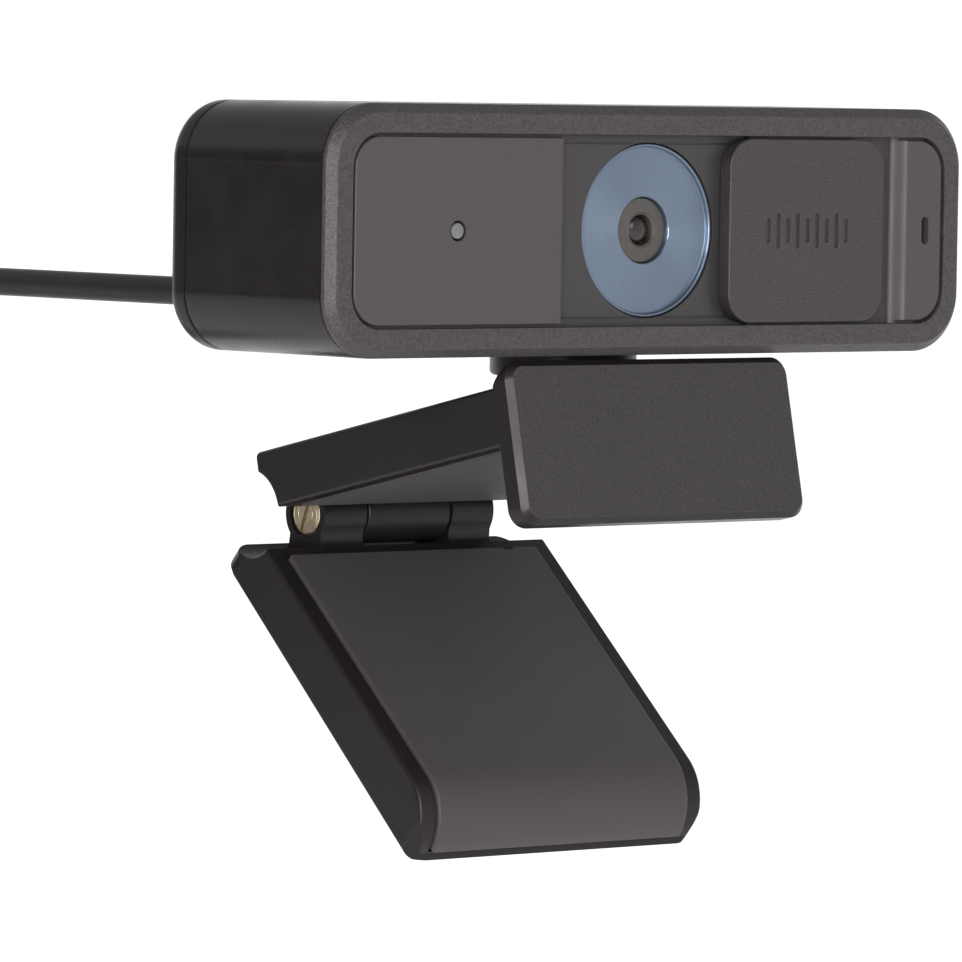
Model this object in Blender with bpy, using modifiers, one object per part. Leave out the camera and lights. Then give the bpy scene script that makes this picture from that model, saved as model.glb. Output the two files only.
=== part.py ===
"""Bar webcam on a folding monitor clip.

Lengths are in millimetres and angles in degrees until a helper turns them into metres and radians.
The world origin is the middle of the clip's arm pad, the face that rests on a monitor's top edge.
+X is to the right seen from the front, +Y points backwards, +Z is up.
Three frames hold the pieces: the level housing frame (origin on its front plane, at its centre),
the clip frame (y along the arm, z square to it) and the leg frame (-y down the leg, z out of its pad).
"""

import math

import bmesh
import bpy
from mathutils import Matrix, Vector

MM = 0.001

# Housing
CAM_W, CAM_H, CAM_D = 95.0, 27.9, 28.9
CAM_R = 6.8
WALL = 1.8
FRONT_Y, CAM_Z = -21.0, 28.4
SEAM = 0.15
RIM_DEPTH = 1.45
RIM_BEVEL = 1.0
REAR_SEAM = 25.25
REAR_BEVEL = 2.2
WINDOW_W, WINDOW_H, WINDOW_R = 88.6, 21.4, 3.9

# Front panel and its sunk track
FLAT_DEPTH = 0.1
TRACK_DEPTH = 1.75
TRACK_LEFT, TRACK_RIGHT, RAMP_RIGHT = -12.8, 34.8, 38.8
PANEL_BACK = 3.8
RING_LIP, RING_DEPTH, RING_R, RING_HOLE_R = 1.95, 2.45, 9.7, 3.75
LIGHT_X, MIC_X = -29.25, 41.4
SHUTTER_W, SHUTTER_H, SHUTTER_X = 23.8, 20.8, 22.7

# Board
BOARD_FRONT, BOARD_T = 11.6, 1.0
BOARD_W, BOARD_H = 87.0, 20.4
BOARD_SCREW_X, BOARD_SCREW_Z = 36.0, 7.8

# Clip
LEAN = 12.4
CLIP_W = 42.4
LIP_FRONT, LIP_BACK, LIP_LOW, LIP_HIGH = -22.5, -19.5, -9.0, 9.5
ARM_LOW, ARM_HIGH, ARM_END = 0.15, 6.9, 23.2
HINGE_Y = 25.6
ARM_RELIEF_R, LEG_RELIEF_R = 5.2, 4.8
BARREL_R, BARREL_HALF, KNUCKLE_HALF = 3.65, 12.85, 6.3
LEG_OPEN = 54.6
LEG_FACE, LEG_ARC_AT, LEG_ARC_R = -0.6, 40.3, 6.5
LEG_TOP, LEG_TOP_BACK, LEG_TIP, LEG_TIP_BACK = 2.6, -7.2, 46.9, -7.95
LEG_CORNER_R, PAD_PROUD = 2.6, 0.45
LEG_PAD_HALF = 18.8
INSERT_AT, INSERT_BACK = 24.0, -7.56

# Neck: the tilt axis lies just over the arm, and the pan axis stands on it
PAN_Y, TILT_Z = -5.2, 8.4
DISC_R, DISC_LOW = 8.35, 11.55
EAR_R, TAB_HALF = 2.6, 3.6

# Cable
CABLE_D = 3.2
EXIT_X, EXIT_Z = -36.0, -7.8
RELIEF_END = 39.3
COIL_Y, COIL_Z, COIL_R = 103.0, -51.8, 17.6
COIL_COLUMNS, COIL_LAYERS = 4, 3
TIE_ANGLE = 60.0
PLUG_X, PLUG_Y = -47.5, 118.2
CABLE_ROUTE = [
    (-36.0, 39.6, -7.8),
    (-36.0, 46.0, -7.8),
    (-36.0, 54.0, -7.8),
    (-36.0, 62.0, -7.8),
    (-36.0, 71.0, -7.8),
    (-35.9, 77.5, -7.9),
    (-35.8, 82.4, -8.7),
    (-35.5, 87.8, -11.4),
    (-34.9, 91.8, -16.2),
    (-34.2, 93.3, -19.6),
    (-33.6, 94.1, -23.1),
    (-32.9, 95.1, -26.2),
    (-32.3, 97.1, -28.8),
]
TAIL_ROUTE = [
    (-44.7, 117.6, -50.2),
    (-46.3, 118.0, -53.5),
    (-47.3, 118.2, -57.5),
    (-47.5, 118.2, -61.4),
]

FINE, COARSE = 32, 20


def clear_scene():
    for obj in list(bpy.data.objects):
        bpy.data.objects.remove(obj, do_unlink=True)


def new_collection(name):
    made = bpy.data.collections.new(name)
    bpy.context.scene.collection.children.link(made)
    return made


clear_scene()
PARTS = new_collection("webcam")
CUTTERS = new_collection("cutters")
CUTTERS.hide_render = True


def frame_empty(name, place, lean=0.0, parent=None):
    """An axis marker: place in millimetres in the parent's frame, turned about X by lean degrees."""
    empty = bpy.data.objects.new(name, None)
    empty.empty_display_size = 0.01
    empty.location = Vector(place) * MM
    empty.rotation_euler.x = math.radians(lean)
    empty.parent = parent
    PARTS.objects.link(empty)
    return empty


def arc(centre, radius, start, stop, count):
    """Points of an arc, both ends included."""
    angles = [math.radians(start + (stop - start) * i / count) for i in range(count + 1)]
    return [(centre[0] + radius * math.cos(a), centre[1] + radius * math.sin(a)) for a in angles]


def rounded_rect(width, height, radius, count=5, at=(0.0, 0.0)):
    x, y = width / 2 - radius, height / 2 - radius
    corners = ((x, y, 0), (-x, y, 90), (-x, -y, 180), (x, -y, 270))
    return [
        point
        for cx, cy, turn in corners
        for point in arc((at[0] + cx, at[1] + cy), radius, turn, turn + 90, count)
    ]


# Columns are where an outline's own x, y and run direction point, for a run along each axis.
RUNS = {
    "X": Matrix(((0, 0, 1), (1, 0, 0), (0, 1, 0))),
    "Y": Matrix(((1, 0, 0), (0, 0, -1), (0, 1, 0))),
    "Z": Matrix.Identity(3),
}


def finish(mesh, name, parent, smooth=True, role=PARTS):
    """The object of a mesh, whose points are already in its parent's frame."""
    if smooth:
        mesh.shade_smooth()
        mesh.set_sharp_from_angle(angle=math.radians(35))
    obj = bpy.data.objects.new(name, mesh)
    obj.parent = parent
    role.objects.link(obj)
    if role is CUTTERS:
        obj.hide_render = True
        obj.display_type = "WIRE"
    return obj


def prism(name, outline, low, high, run, parent, role=PARTS, bevels=()):
    """Flat outline run along one axis from low to high.

    bevels holds (end, width, segments), where end is the coordinate of the rim to soften.
    """
    curve = bpy.data.curves.new(name, "CURVE")
    curve.dimensions = "2D"
    curve.fill_mode = "BOTH"
    curve.extrude = (high - low) / 2 * MM
    spline = curve.splines.new("POLY")
    spline.points.add(len(outline) - 1)
    for point, (x, y) in zip(spline.points, outline):
        point.co = (x * MM, y * MM, 0, 1)
    spline.use_cyclic_u = True
    guide = bpy.data.objects.new(name + "_outline", curve)
    CUTTERS.objects.link(guide)
    depsgraph = bpy.context.evaluated_depsgraph_get()
    mesh = bpy.data.meshes.new_from_object(guide.evaluated_get(depsgraph))
    bpy.data.objects.remove(guide)
    turn = RUNS[run]
    shift = Vector([0, 0, 0])
    axis = "XYZ".index(run)
    shift[axis] = (low + high) / 2 * MM
    mesh.transform(Matrix.Translation(shift) @ turn.to_4x4())
    bm = bmesh.new()
    bm.from_mesh(mesh)
    bmesh.ops.remove_doubles(bm, verts=bm.verts, dist=1e-6)
    bmesh.ops.dissolve_limit(bm, angle_limit=math.radians(0.2), verts=bm.verts, edges=bm.edges)
    bmesh.ops.recalc_face_normals(bm, faces=bm.faces)
    for end, width, segments in bevels:
        rim = [
            edge
            for edge in bm.edges
            if all(abs(vert.co[axis] - end * MM) < 1e-6 for vert in edge.verts)
        ]
        bmesh.ops.bevel(
            bm, geom=rim, offset=width * MM, segments=segments, profile=0.5, affect="EDGES"
        )
    bm.to_mesh(mesh)
    bm.free()
    mesh.materials.clear()
    return finish(mesh, name, parent, role=role)


def box(name, low, high, parent, role=PARTS, bevel=0.0):
    bm = bmesh.new()
    bmesh.ops.create_cube(bm, size=1)
    size = [(b - a) * MM for a, b in zip(low, high)]
    middle = [(a + b) / 2 * MM for a, b in zip(low, high)]
    bmesh.ops.scale(bm, vec=size, verts=bm.verts)
    bmesh.ops.translate(bm, vec=middle, verts=bm.verts)
    if bevel:
        bmesh.ops.bevel(
            bm, geom=bm.edges, offset=bevel * MM, segments=2, profile=0.5, affect="EDGES"
        )
    mesh = bpy.data.meshes.new(name)
    bm.to_mesh(mesh)
    bm.free()
    return finish(mesh, name, parent, role=role)


def cylinder(name, radius, low, high, run, at, parent, role=PARTS, steps=COARSE, end_radius=None):
    """Cylinder or cone along one axis; at holds the other two coordinates, in axis order."""
    bm = bmesh.new()
    bmesh.ops.create_cone(
        bm,
        cap_ends=True,
        segments=steps,
        radius1=radius * MM,
        radius2=(radius if end_radius is None else end_radius) * MM,
        depth=(high - low) * MM,
    )
    middle = {
        "X": ((low + high) / 2, at[0], at[1]),
        "Y": (at[0], (low + high) / 2, at[1]),
        "Z": (at[0], at[1], (low + high) / 2),
    }[run]
    turn = {
        "X": Matrix.Rotation(math.pi / 2, 4, "Y"),
        "Y": Matrix.Rotation(-math.pi / 2, 4, "X"),
        "Z": Matrix.Identity(4),
    }[run]
    bmesh.ops.transform(
        bm, matrix=Matrix.Translation(Vector(middle) * MM) @ turn, verts=bm.verts
    )
    mesh = bpy.data.meshes.new(name)
    bm.to_mesh(mesh)
    bm.free()
    return finish(mesh, name, parent, role=role)


def turned(name, profile, place, turn, parent, steps=FINE, ring=False):
    """Turned piece: profile holds (radius, height) down its outer side, top to bottom."""
    bm = bmesh.new()
    points = [bm.verts.new((r * MM, 0, z * MM)) for r, z in profile]
    for first, second in zip(points, points[1:]):
        bm.edges.new((first, second))
    if ring:
        bm.edges.new((points[-1], points[0]))
    mesh = bpy.data.meshes.new(name)
    bm.to_mesh(mesh)
    bm.free()
    obj = finish(mesh, name, parent, smooth=False)
    obj.location = Vector(place) * MM
    obj.rotation_euler = [math.radians(a) for a in turn]
    screw = obj.modifiers.new("turn", "SCREW")
    screw.steps = steps
    screw.render_steps = steps
    screw.use_merge_vertices = True
    screw.merge_threshold = 1e-6
    screw.use_smooth_shade = True
    return obj


def boolean(obj, operation, *others):
    for other in others:
        modifier = obj.modifiers.new(operation.lower(), "BOOLEAN")
        modifier.operation = operation
        modifier.solver = "EXACT"
        modifier.object = other


def cut(obj, *cutters):
    boolean(obj, "DIFFERENCE", *cutters)


def join(obj, *others):
    boolean(obj, "UNION", *others)


def tube(name, points, diameter, parent, samples):
    """Round tube along a smooth curve through the points."""
    curve = bpy.data.curves.new(name, "CURVE")
    curve.dimensions = "3D"
    curve.bevel_depth = diameter / 2 * MM
    curve.bevel_resolution = 2
    curve.use_fill_caps = True
    line = smooth_line([Vector(p) for p in points], samples)
    spline = curve.splines.new("POLY")
    spline.points.add(len(line) - 1)
    for point, co in zip(spline.points, line):
        point.co = (*(co * MM), 1)
    obj = bpy.data.objects.new(name, curve)
    obj.parent = parent
    PARTS.objects.link(obj)
    return obj


def smooth_line(points, samples):
    """Points along a Catmull-Rom curve through the given ones."""
    ends = [2 * points[0] - points[1], *points, 2 * points[-1] - points[-2]]
    line = []
    for a, b, c, d in zip(ends, ends[1:], ends[2:], ends[3:]):
        for i in range(samples):
            t = i / samples
            line.append(
                0.5
                * (
                    2 * b
                    + (c - a) * t
                    + (2 * a - 5 * b + 4 * c - d) * t**2
                    + (3 * b - a - 3 * c + d) * t**3
                )
            )
    return [*line, points[-1]]


def paint(obj, colour, roughness, metallic=0.0):
    material = bpy.data.materials.new(obj.name)
    material.use_nodes = True
    shader = material.node_tree.nodes["Principled BSDF"]
    shader.inputs["Base Color"].default_value = (*colour, 1)
    shader.inputs["Roughness"].default_value = roughness
    shader.inputs["Metallic"].default_value = metallic
    obj.data.materials.append(material)


CHARCOAL = (0.045, 0.042, 0.043)
GRAPHITE = (0.09, 0.085, 0.087)
BLACK = (0.012, 0.012, 0.013)
STEEL = (0.55, 0.55, 0.56)
BRASS = (0.62, 0.50, 0.25)
BLUE = (0.12, 0.20, 0.30)
BOARD_GREEN = (0.02, 0.10, 0.06)


# Frames -------------------------------------------------------------------------------------

CLIP = frame_empty("clip_frame", (0, 0, 0), -LEAN)
LEG = frame_empty("leg_hinge_axis", (0, HINGE_Y, 0), LEG_OPEN, CLIP)
NECK = frame_empty("tilt_axis", (0, PAN_Y, TILT_Z))
CAMERA = frame_empty("pan_axis", (0, 0, CAM_Z - TILT_Z), 0, NECK)
SHUTTER = frame_empty("shutter_slide_axis", (SHUTTER_X, 0, 0), 0, CAMERA)
HOUSING = frame_empty("housing_frame", (0, FRONT_Y - PAN_Y, 0), 0, CAMERA)
SLIDER = frame_empty("shutter_frame", (0, FRONT_Y - PAN_Y, 0), 0, SHUTTER)


# Housing shells -----------------------------------------------------------------------------


def make_front_frame():
    frame = prism(
        "front_frame",
        rounded_rect(CAM_W, CAM_H, CAM_R),
        0,
        RIM_DEPTH,
        "Y",
        HOUSING,
        bevels=[(0, RIM_BEVEL, 2)],
    )
    inner_w, inner_h = CAM_W - 2 * WALL - 2 * SEAM, CAM_H - 2 * WALL - 2 * SEAM
    spigot = prism(
        "front_spigot", rounded_rect(inner_w, inner_h, 4.9), 1.2, 4.0, "Y", HOUSING, CUTTERS
    )
    window = prism(
        "window_cut",
        rounded_rect(WINDOW_W, WINDOW_H, WINDOW_R),
        -1,
        5,
        "Y",
        HOUSING,
        CUTTERS,
    )
    step = prism(
        "window_step_cut", rounded_rect(89.9, 23.0, 4.5), 1.0, 5, "Y", HOUSING, CUTTERS
    )
    join(frame, spigot)
    cut(frame, window, step)
    paint(frame, CHARCOAL, 0.55)


def make_main_shell():
    shell = prism(
        "main_shell",
        rounded_rect(CAM_W, CAM_H, CAM_R),
        RIM_DEPTH + SEAM,
        REAR_SEAM,
        "Y",
        HOUSING,
    )
    hollow = prism(
        "shell_hollow",
        rounded_rect(CAM_W - 2 * WALL, CAM_H - 2 * WALL, CAM_R - WALL),
        0,
        CAM_D,
        "Y",
        HOUSING,
        CUTTERS,
    )
    bottom = -CAM_H / 2
    neck_at = (0, PAN_Y - FRONT_Y)
    seat = cylinder(
        "swivel_seat_cut",
        DISC_R + 0.25,
        bottom - 1,
        bottom + 0.5,
        "Z",
        neck_at,
        HOUSING,
        CUTTERS,
        FINE,
    )
    bore = cylinder(
        "swivel_bore_cut", 3.7, bottom - 1, bottom + 4, "Z", neck_at, HOUSING, CUTTERS
    )
    cut(shell, hollow, seat, bore)
    paint(shell, BLACK, 0.4)


def make_rear_cover():
    cover = prism(
        "rear_cover",
        rounded_rect(CAM_W, CAM_H, CAM_R),
        REAR_SEAM + SEAM,
        CAM_D,
        "Y",
        HOUSING,
        bevels=[(CAM_D, REAR_BEVEL, 3)],
    )
    inner_w, inner_h = CAM_W - 2 * WALL - 2 * SEAM, CAM_H - 2 * WALL - 2 * SEAM
    spigot = prism(
        "rear_spigot", rounded_rect(inner_w, inner_h, 4.9), 23.4, 26.0, "Y", HOUSING, CUTTERS
    )
    hollow = prism(
        "rear_spigot_hollow",
        rounded_rect(inner_w - 2.4, inner_h - 2.4, 3.8),
        23.0,
        REAR_SEAM + SEAM + 0.3,
        "Y",
        HOUSING,
        CUTTERS,
    )
    gland = cylinder(
        "gland_cut", 2.5, 23, 31, "Y", (EXIT_X, EXIT_Z), HOUSING, CUTTERS
    )
    join(cover, spigot)
    cut(cover, hollow, gland)
    paint(cover, BLACK, 0.4)


# Front panel, shutter and lens ---------------------------------------------------------------


def make_face_panel():
    panel = prism(
        "face_panel", rounded_rect(89.5, 22.6, 4.3), 1.15, PANEL_BACK, "Y", HOUSING
    )
    raised = prism(
        "panel_flat",
        rounded_rect(WINDOW_W - 0.5, WINDOW_H - 0.5, WINDOW_R - 0.25),
        FLAT_DEPTH,
        2.5,
        "Y",
        HOUSING,
        CUTTERS,
    )
    # The track's section, seen from above: a rounded step on the left and a ramp on the right.
    left_step = [(x, y) for x, y in arc((-14.6, FLAT_DEPTH + 1.2), 1.2, -90, -15, 4)]
    ramp = []
    for step in range(9):
        rise = (1 - math.cos(math.pi * step / 8)) / 2
        place = TRACK_RIGHT + (RAMP_RIGHT - TRACK_RIGHT) * step / 8
        ramp.append((place, TRACK_DEPTH + (FLAT_DEPTH - TRACK_DEPTH) * rise))
    section = [
        (-14.6, -2),
        *left_step,
        (TRACK_LEFT, TRACK_DEPTH),
        *ramp,
        (RAMP_RIGHT, -2),
    ]
    track = prism("track_cut", section, -13, 13, "Z", HOUSING, CUTTERS)
    ring_seat = cylinder(
        "ring_seat_cut", RING_R + 0.15, -1, 3.35, "Y", (0, 0), HOUSING, CUTTERS, FINE
    )
    lens_bore = cylinder("lens_bore_cut", 8.0, 2, 5, "Y", (0, 0), HOUSING, CUTTERS, FINE)
    light_bore = cylinder("light_bore_cut", 1.15, -1, 5, "Y", (LIGHT_X, 0), HOUSING, CUTTERS)
    mic_slot = prism(
        "mic_slot_cut",
        rounded_rect(1.1, 3.2, 0.54, at=(MIC_X, 0)),
        -1,
        5,
        "Y",
        HOUSING,
        CUTTERS,
    )
    join(panel, raised)
    cut(panel, track, ring_seat, lens_bore, light_bore, mic_slot)
    for number, (x, z) in enumerate(board_screw_places(), 1):
        post = cylinder(
            f"panel_post_{number}",
            1.9,
            PANEL_BACK - 0.5,
            BOARD_FRONT - 0.15,
            "Y",
            (x, z),
            HOUSING,
            CUTTERS,
            12,
        )
        pilot = cylinder(
            f"panel_pilot_{number}", 1.0, 6.5, 12.0, "Y", (x, z), HOUSING, CUTTERS, 12
        )
        join(panel, post)
        cut(panel, pilot)
    paint(panel, GRAPHITE, 0.5)


def make_shutter():
    cover = prism(
        "shutter_cover",
        rounded_rect(SHUTTER_W, SHUTTER_H, 3.2),
        -0.1,
        1.6,
        "Y",
        SLIDER,
        bevels=[(-0.1, 0.2, 2)],
    )
    runner = box("shutter_runner", (-8, 1.15, -11.25), (8, 1.6, 11.25), SLIDER, CUTTERS)
    join(cover, runner)
    for step in range(-3, 4):
        groove = box(
            f"grip_cut_{step + 3}",
            (2.0 * step - 0.35, -1, -2.2),
            (2.0 * step + 0.35, 0.15, 2.2),
            SLIDER,
            CUTTERS,
        )
        cut(cover, groove)
    paint(cover, CHARCOAL, 0.5)


def make_lens():
    ring = prism(
        "lens_ring",
        arc((0, 0), RING_R, 0, 360, 40)[:-1],
        RING_LIP,
        3.2,
        "Y",
        HOUSING,
    )
    dish = cylinder(
        "lens_ring_dish", RING_R - 0.4, 1, RING_DEPTH, "Y", (0, 0), HOUSING, CUTTERS, FINE
    )
    hole = cylinder(
        "lens_ring_hole", RING_HOLE_R, 1, 5, "Y", (0, 0), HOUSING, CUTTERS, FINE
    )
    cut(ring, dish, hole)
    paint(ring, BLUE, 0.2, 0.6)

    barrel = cylinder("lens_barrel", 3.45, 3.0, 9.0, "Y", (0, 0), HOUSING, steps=24)
    flange = cylinder("barrel_flange", 3.65, 2.9, 4.3, "Y", (0, 0), HOUSING, CUTTERS, 24)
    bore = cylinder("barrel_bore", 1.8, 2, 10, "Y", (0, 0), HOUSING, CUTTERS)
    join(barrel, flange)
    cut(barrel, bore)
    paint(barrel, GRAPHITE, 0.45)

    dome = [(0, 0.9), (0.6, 0.82), (1.1, 0.58), (1.6, 0.1), (1.6, -0.7), (0, -0.7)]
    front = turned("lens_front_element", dome, (0, 3.95, 0), (90, 0, 0), HOUSING, 20)
    paint(front, (0.03, 0.03, 0.05), 0.05)
    rear = cylinder("lens_rear_element", 1.6, 7.2, 8.4, "Y", (0, 0), HOUSING)
    paint(rear, (0.03, 0.03, 0.05), 0.05)

    holder = box("lens_holder", (-6, 6.4, -6), (6, 11.45, 6), HOUSING, bevel=0.4)
    neck = cylinder("holder_neck", 4.6, 4.5, 7.0, "Y", (0, 0), HOUSING, CUTTERS, 24)
    bore = cylinder("holder_bore", 3.6, 3, 9.5, "Y", (0, 0), HOUSING, CUTTERS, 24)
    chamber = box("holder_chamber", (-4.2, 9.3, -4.2), (4.2, 13, 4.2), HOUSING, CUTTERS)
    join(holder, neck)
    cut(holder, bore, chamber)
    paint(holder, BLACK, 0.6)

    glass = box("ir_filter", (-3.4, 9.6, -3.4), (3.4, 9.9, 3.4), HOUSING)
    paint(glass, (0.10, 0.25, 0.35), 0.05)
    sensor = box("image_sensor", (-3.5, 10.6, -3.5), (3.5, 11.45, 3.5), HOUSING)
    paint(sensor, (0.05, 0.05, 0.06), 0.2)


# Board and what it carries -------------------------------------------------------------------


def board_screw_places():
    return [
        (x, z)
        for x in (-BOARD_SCREW_X, BOARD_SCREW_X)
        for z in (-BOARD_SCREW_Z, BOARD_SCREW_Z)
    ]


def make_board():
    back = BOARD_FRONT + BOARD_T
    board = prism(
        "main_board", rounded_rect(BOARD_W, BOARD_H, 1.5, 3), BOARD_FRONT, back, "Y", HOUSING
    )
    paint(board, BOARD_GREEN, 0.4)
    for number, (x, z) in enumerate(board_screw_places(), 1):
        hole = cylinder(
            f"board_hole_{number}", 1.15, 10, 14, "Y", (x, z), HOUSING, CUTTERS, 12
        )
        cut(board, hole)
        profile = [(0, 1.2), (1.4, 1.0), (1.7, 0), (0.85, 0), (0.85, -5.6), (0, -5.9)]
        screw = turned(
            f"board_screw_{number}", profile, (x, back + 0.15, z), (-90, 0, 0), HOUSING, 12
        )
        paint(screw, STEEL, 0.3, 1.0)
    behind = back + 0.15
    chips = (
        ("usb_controller", (8, 0, -2), (16, 1.0, 6)),
        ("flash_memory", (20, 0, 0), (25, 0.9, 4)),
        ("cable_header", (-31, 0, -9.2), (-21, 4.6, -5.0)),
    )
    for name, low, high in chips:
        chip = box(
            name,
            (low[0], behind + low[1], low[2]),
            (high[0], behind + high[1], high[2]),
            HOUSING,
            bevel=0.15,
        )
        paint(chip, BLACK, 0.5)
    light = box("status_led", (-29.8, 10.65, -0.5), (-28.2, 11.45, 0.5), HOUSING)
    paint(light, (0.8, 0.8, 0.75), 0.3)
    pipe = cylinder("light_pipe", 0.88, 0.15, 10.4, "Y", (LIGHT_X, 0), HOUSING)
    paint(pipe, (0.5, 0.5, 0.5), 0.2)
    mic = box("microphone", (MIC_X - 1.4, 10.5, -1.9), (MIC_X + 1.4, 11.45, 1.9), HOUSING)
    paint(mic, STEEL, 0.35, 1.0)
    gasket = cylinder("mic_gasket", 2.0, PANEL_BACK + 0.15, 10.3, "Y", (MIC_X, 0), HOUSING)
    sound_bore = cylinder("mic_gasket_bore", 0.8, 3, 11, "Y", (MIC_X, 0), HOUSING, CUTTERS, 12)
    cut(gasket, sound_bore)
    paint(gasket, BLACK, 0.8)


# Neck ----------------------------------------------------------------------------------------


def make_neck():
    """Swivel disc, its hollow post up into the housing, and its tab down to the tilt pin."""
    disc_low = DISC_LOW - TILT_Z
    disc_high = CAM_Z - CAM_H / 2 + 0.35 - TILT_Z
    disc = prism(
        "swivel_neck",
        arc((0, 0), DISC_R, 0, 360, 48)[:-1],
        disc_low,
        disc_high,
        "Z",
        NECK,
        bevels=[(disc_low, 0.6, 2)],
    )
    post_high = CAM_Z - CAM_H / 2 + WALL - TILT_Z
    post = cylinder("neck_post", 3.45, disc_high - 0.5, post_high, "Z", (0, 0), NECK, CUTTERS)
    tab_outline = [*arc((0, 0), EAR_R, 180, 360, 10), (EAR_R, 5.0), (-EAR_R, 5.0)]
    tab = prism("neck_tab", tab_outline, -TAB_HALF, TAB_HALF, "X", NECK, CUTTERS)
    pin_bore = cylinder("neck_pin_bore", 1.08, -9, 9, "X", (0, 0), NECK, CUTTERS, 24)
    screw_bore = cylinder("neck_screw_bore", 1.5, 2.0, 12, "Z", (0, 0), NECK, CUTTERS, 16)
    join(disc, tab, post)
    cut(disc, pin_bore, screw_bore)
    paint(disc, BLACK, 0.45)

    washer = cylinder(
        "pan_washer", 6.0, post_high + 0.15, post_high + 1.0, "Z", (0, 0), NECK, steps=24
    )
    washer_bore = cylinder("washer_bore", 1.6, 5, 12, "Z", (0, 0), NECK, CUTTERS, 16)
    cut(washer, washer_bore)
    paint(washer, STEEL, 0.3, 1.0)
    profile = [(0, 1.3), (2.0, 1.1), (2.3, 0), (1.35, 0), (1.35, -5.8), (0, -6.2)]
    screw = turned("pan_screw", profile, (0, 0, post_high + 1.15), (0, 0, 0), NECK, 16)
    paint(screw, STEEL, 0.3, 1.0)


# Clip arm ------------------------------------------------------------------------------------


def make_arm():
    half = CLIP_W / 2
    rise = math.sqrt(ARM_RELIEF_R**2 - (HINGE_Y - ARM_END) ** 2)
    start = math.degrees(math.atan2(rise, ARM_END - HINGE_Y))
    side = [
        (LIP_FRONT + 1.5, ARM_LOW),
        *arc((HINGE_Y, 0), ARM_RELIEF_R, 178.3, start, 5),
        (ARM_END, ARM_HIGH - 0.6),
        (ARM_END - 0.6, ARM_HIGH),
        (LIP_FRONT + 1.5, ARM_HIGH),
    ]
    arm = prism(
        "clip_arm",
        side,
        -half,
        half,
        "X",
        CLIP,
        bevels=[(-half, 0.4, 2), (half, 0.4, 2)],
    )
    middle = (LIP_LOW + LIP_HIGH) / 2
    lip = prism(
        "lip_plate",
        rounded_rect(CLIP_W + 0.1, LIP_HIGH - LIP_LOW, 2.2, at=(0, middle)),
        LIP_FRONT,
        LIP_BACK,
        "Y",
        CLIP,
        CUTTERS,
        bevels=[(LIP_FRONT, 0.8, 2)],
    )
    slope = [(LIP_BACK - 2.2, 9.62), (LIP_BACK + 0.3, 6.45), (LIP_BACK + 0.3, 12), (LIP_BACK - 2.2, 12)]
    cut(lip, prism("lip_slope_cut", slope, -30, 30, "X", CLIP, CUTTERS))
    web_outline = [
        (19.0, ARM_LOW + 0.1),
        (HINGE_Y, ARM_LOW + 0.1),
        (HINGE_Y, BARREL_R - 0.05),
        (ARM_END + 0.3, 5.2),
        (19.0, 5.2),
    ]
    web = prism("arm_web", web_outline, -6.15, 6.15, "X", CLIP, CUTTERS)
    knuckle = cylinder(
        "arm_knuckle", BARREL_R, -6.15, 6.15, "X", (HINGE_Y, 0), CLIP, CUTTERS, 28
    )
    join(arm, lip, web, knuckle)
    screw_bore = cylinder("arm_knuckle_bore", 1.7, -9, 9, "X", (HINGE_Y, 0), CLIP, CUTTERS, 16)

    # Two ears carry the tilt pin, with a scoop between them for the neck's tab.
    tilt = Matrix.Rotation(math.radians(LEAN), 3, "X") @ Vector((0, PAN_Y, TILT_Z))
    ty, tz = tilt.y, tilt.z
    for side_name, low in (("left", -6.0), ("right", 4.0)):
        ear_outline = [
            (ty - EAR_R - 0.8, ARM_HIGH - 0.5),
            (ty + EAR_R + 0.8, ARM_HIGH - 0.5),
            *arc((ty, tz), EAR_R, 0, 180, 10),
        ]
        ear = prism(f"ear_{side_name}", ear_outline, low, low + 2.0, "X", CLIP, CUTTERS)
        join(arm, ear)
    scoop = cylinder("tab_scoop", EAR_R + 0.4, -3.9, 3.9, "X", (ty, tz), CLIP, CUTTERS, 24)
    pin_bore = cylinder("ear_pin_bore", 1.08, -9, 9, "X", (ty, tz), CLIP, CUTTERS, 24)
    arm_pocket = box(
        "arm_pad_pocket", (-19.0, -19.3, -1), (19.0, 19.5, 1.25), CLIP, CUTTERS
    )
    lip_pocket = box(
        "lip_pad_pocket", (-19.0, -20.1, -8.1), (19.0, -18, -0.6), CLIP, CUTTERS
    )
    cut(arm, screw_bore, scoop, pin_bore, arm_pocket, lip_pocket)
    paint(arm, BLACK, 0.5)

    pad = box("arm_pad", (-18.85, -19.15, 0), (18.85, 19.35, 1.1), CLIP)
    paint(pad, GRAPHITE, 0.8)
    pad = box("lip_pad", (-18.85, -19.95, -7.95), (18.85, -19.3, -0.75), CLIP)
    paint(pad, GRAPHITE, 0.8)
    pin = cylinder("tilt_pin", 1.0, -6.3, 6.3, "X", (PAN_Y, TILT_Z), None, steps=24)
    paint(pin, STEEL, 0.3, 1.0)


# Clip leg ------------------------------------------------------------------------------------


def mirrored(outline):
    """Leg outlines are written with the distance down the leg, which runs along -y."""
    return [(-s, h) for s, h in outline]


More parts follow.
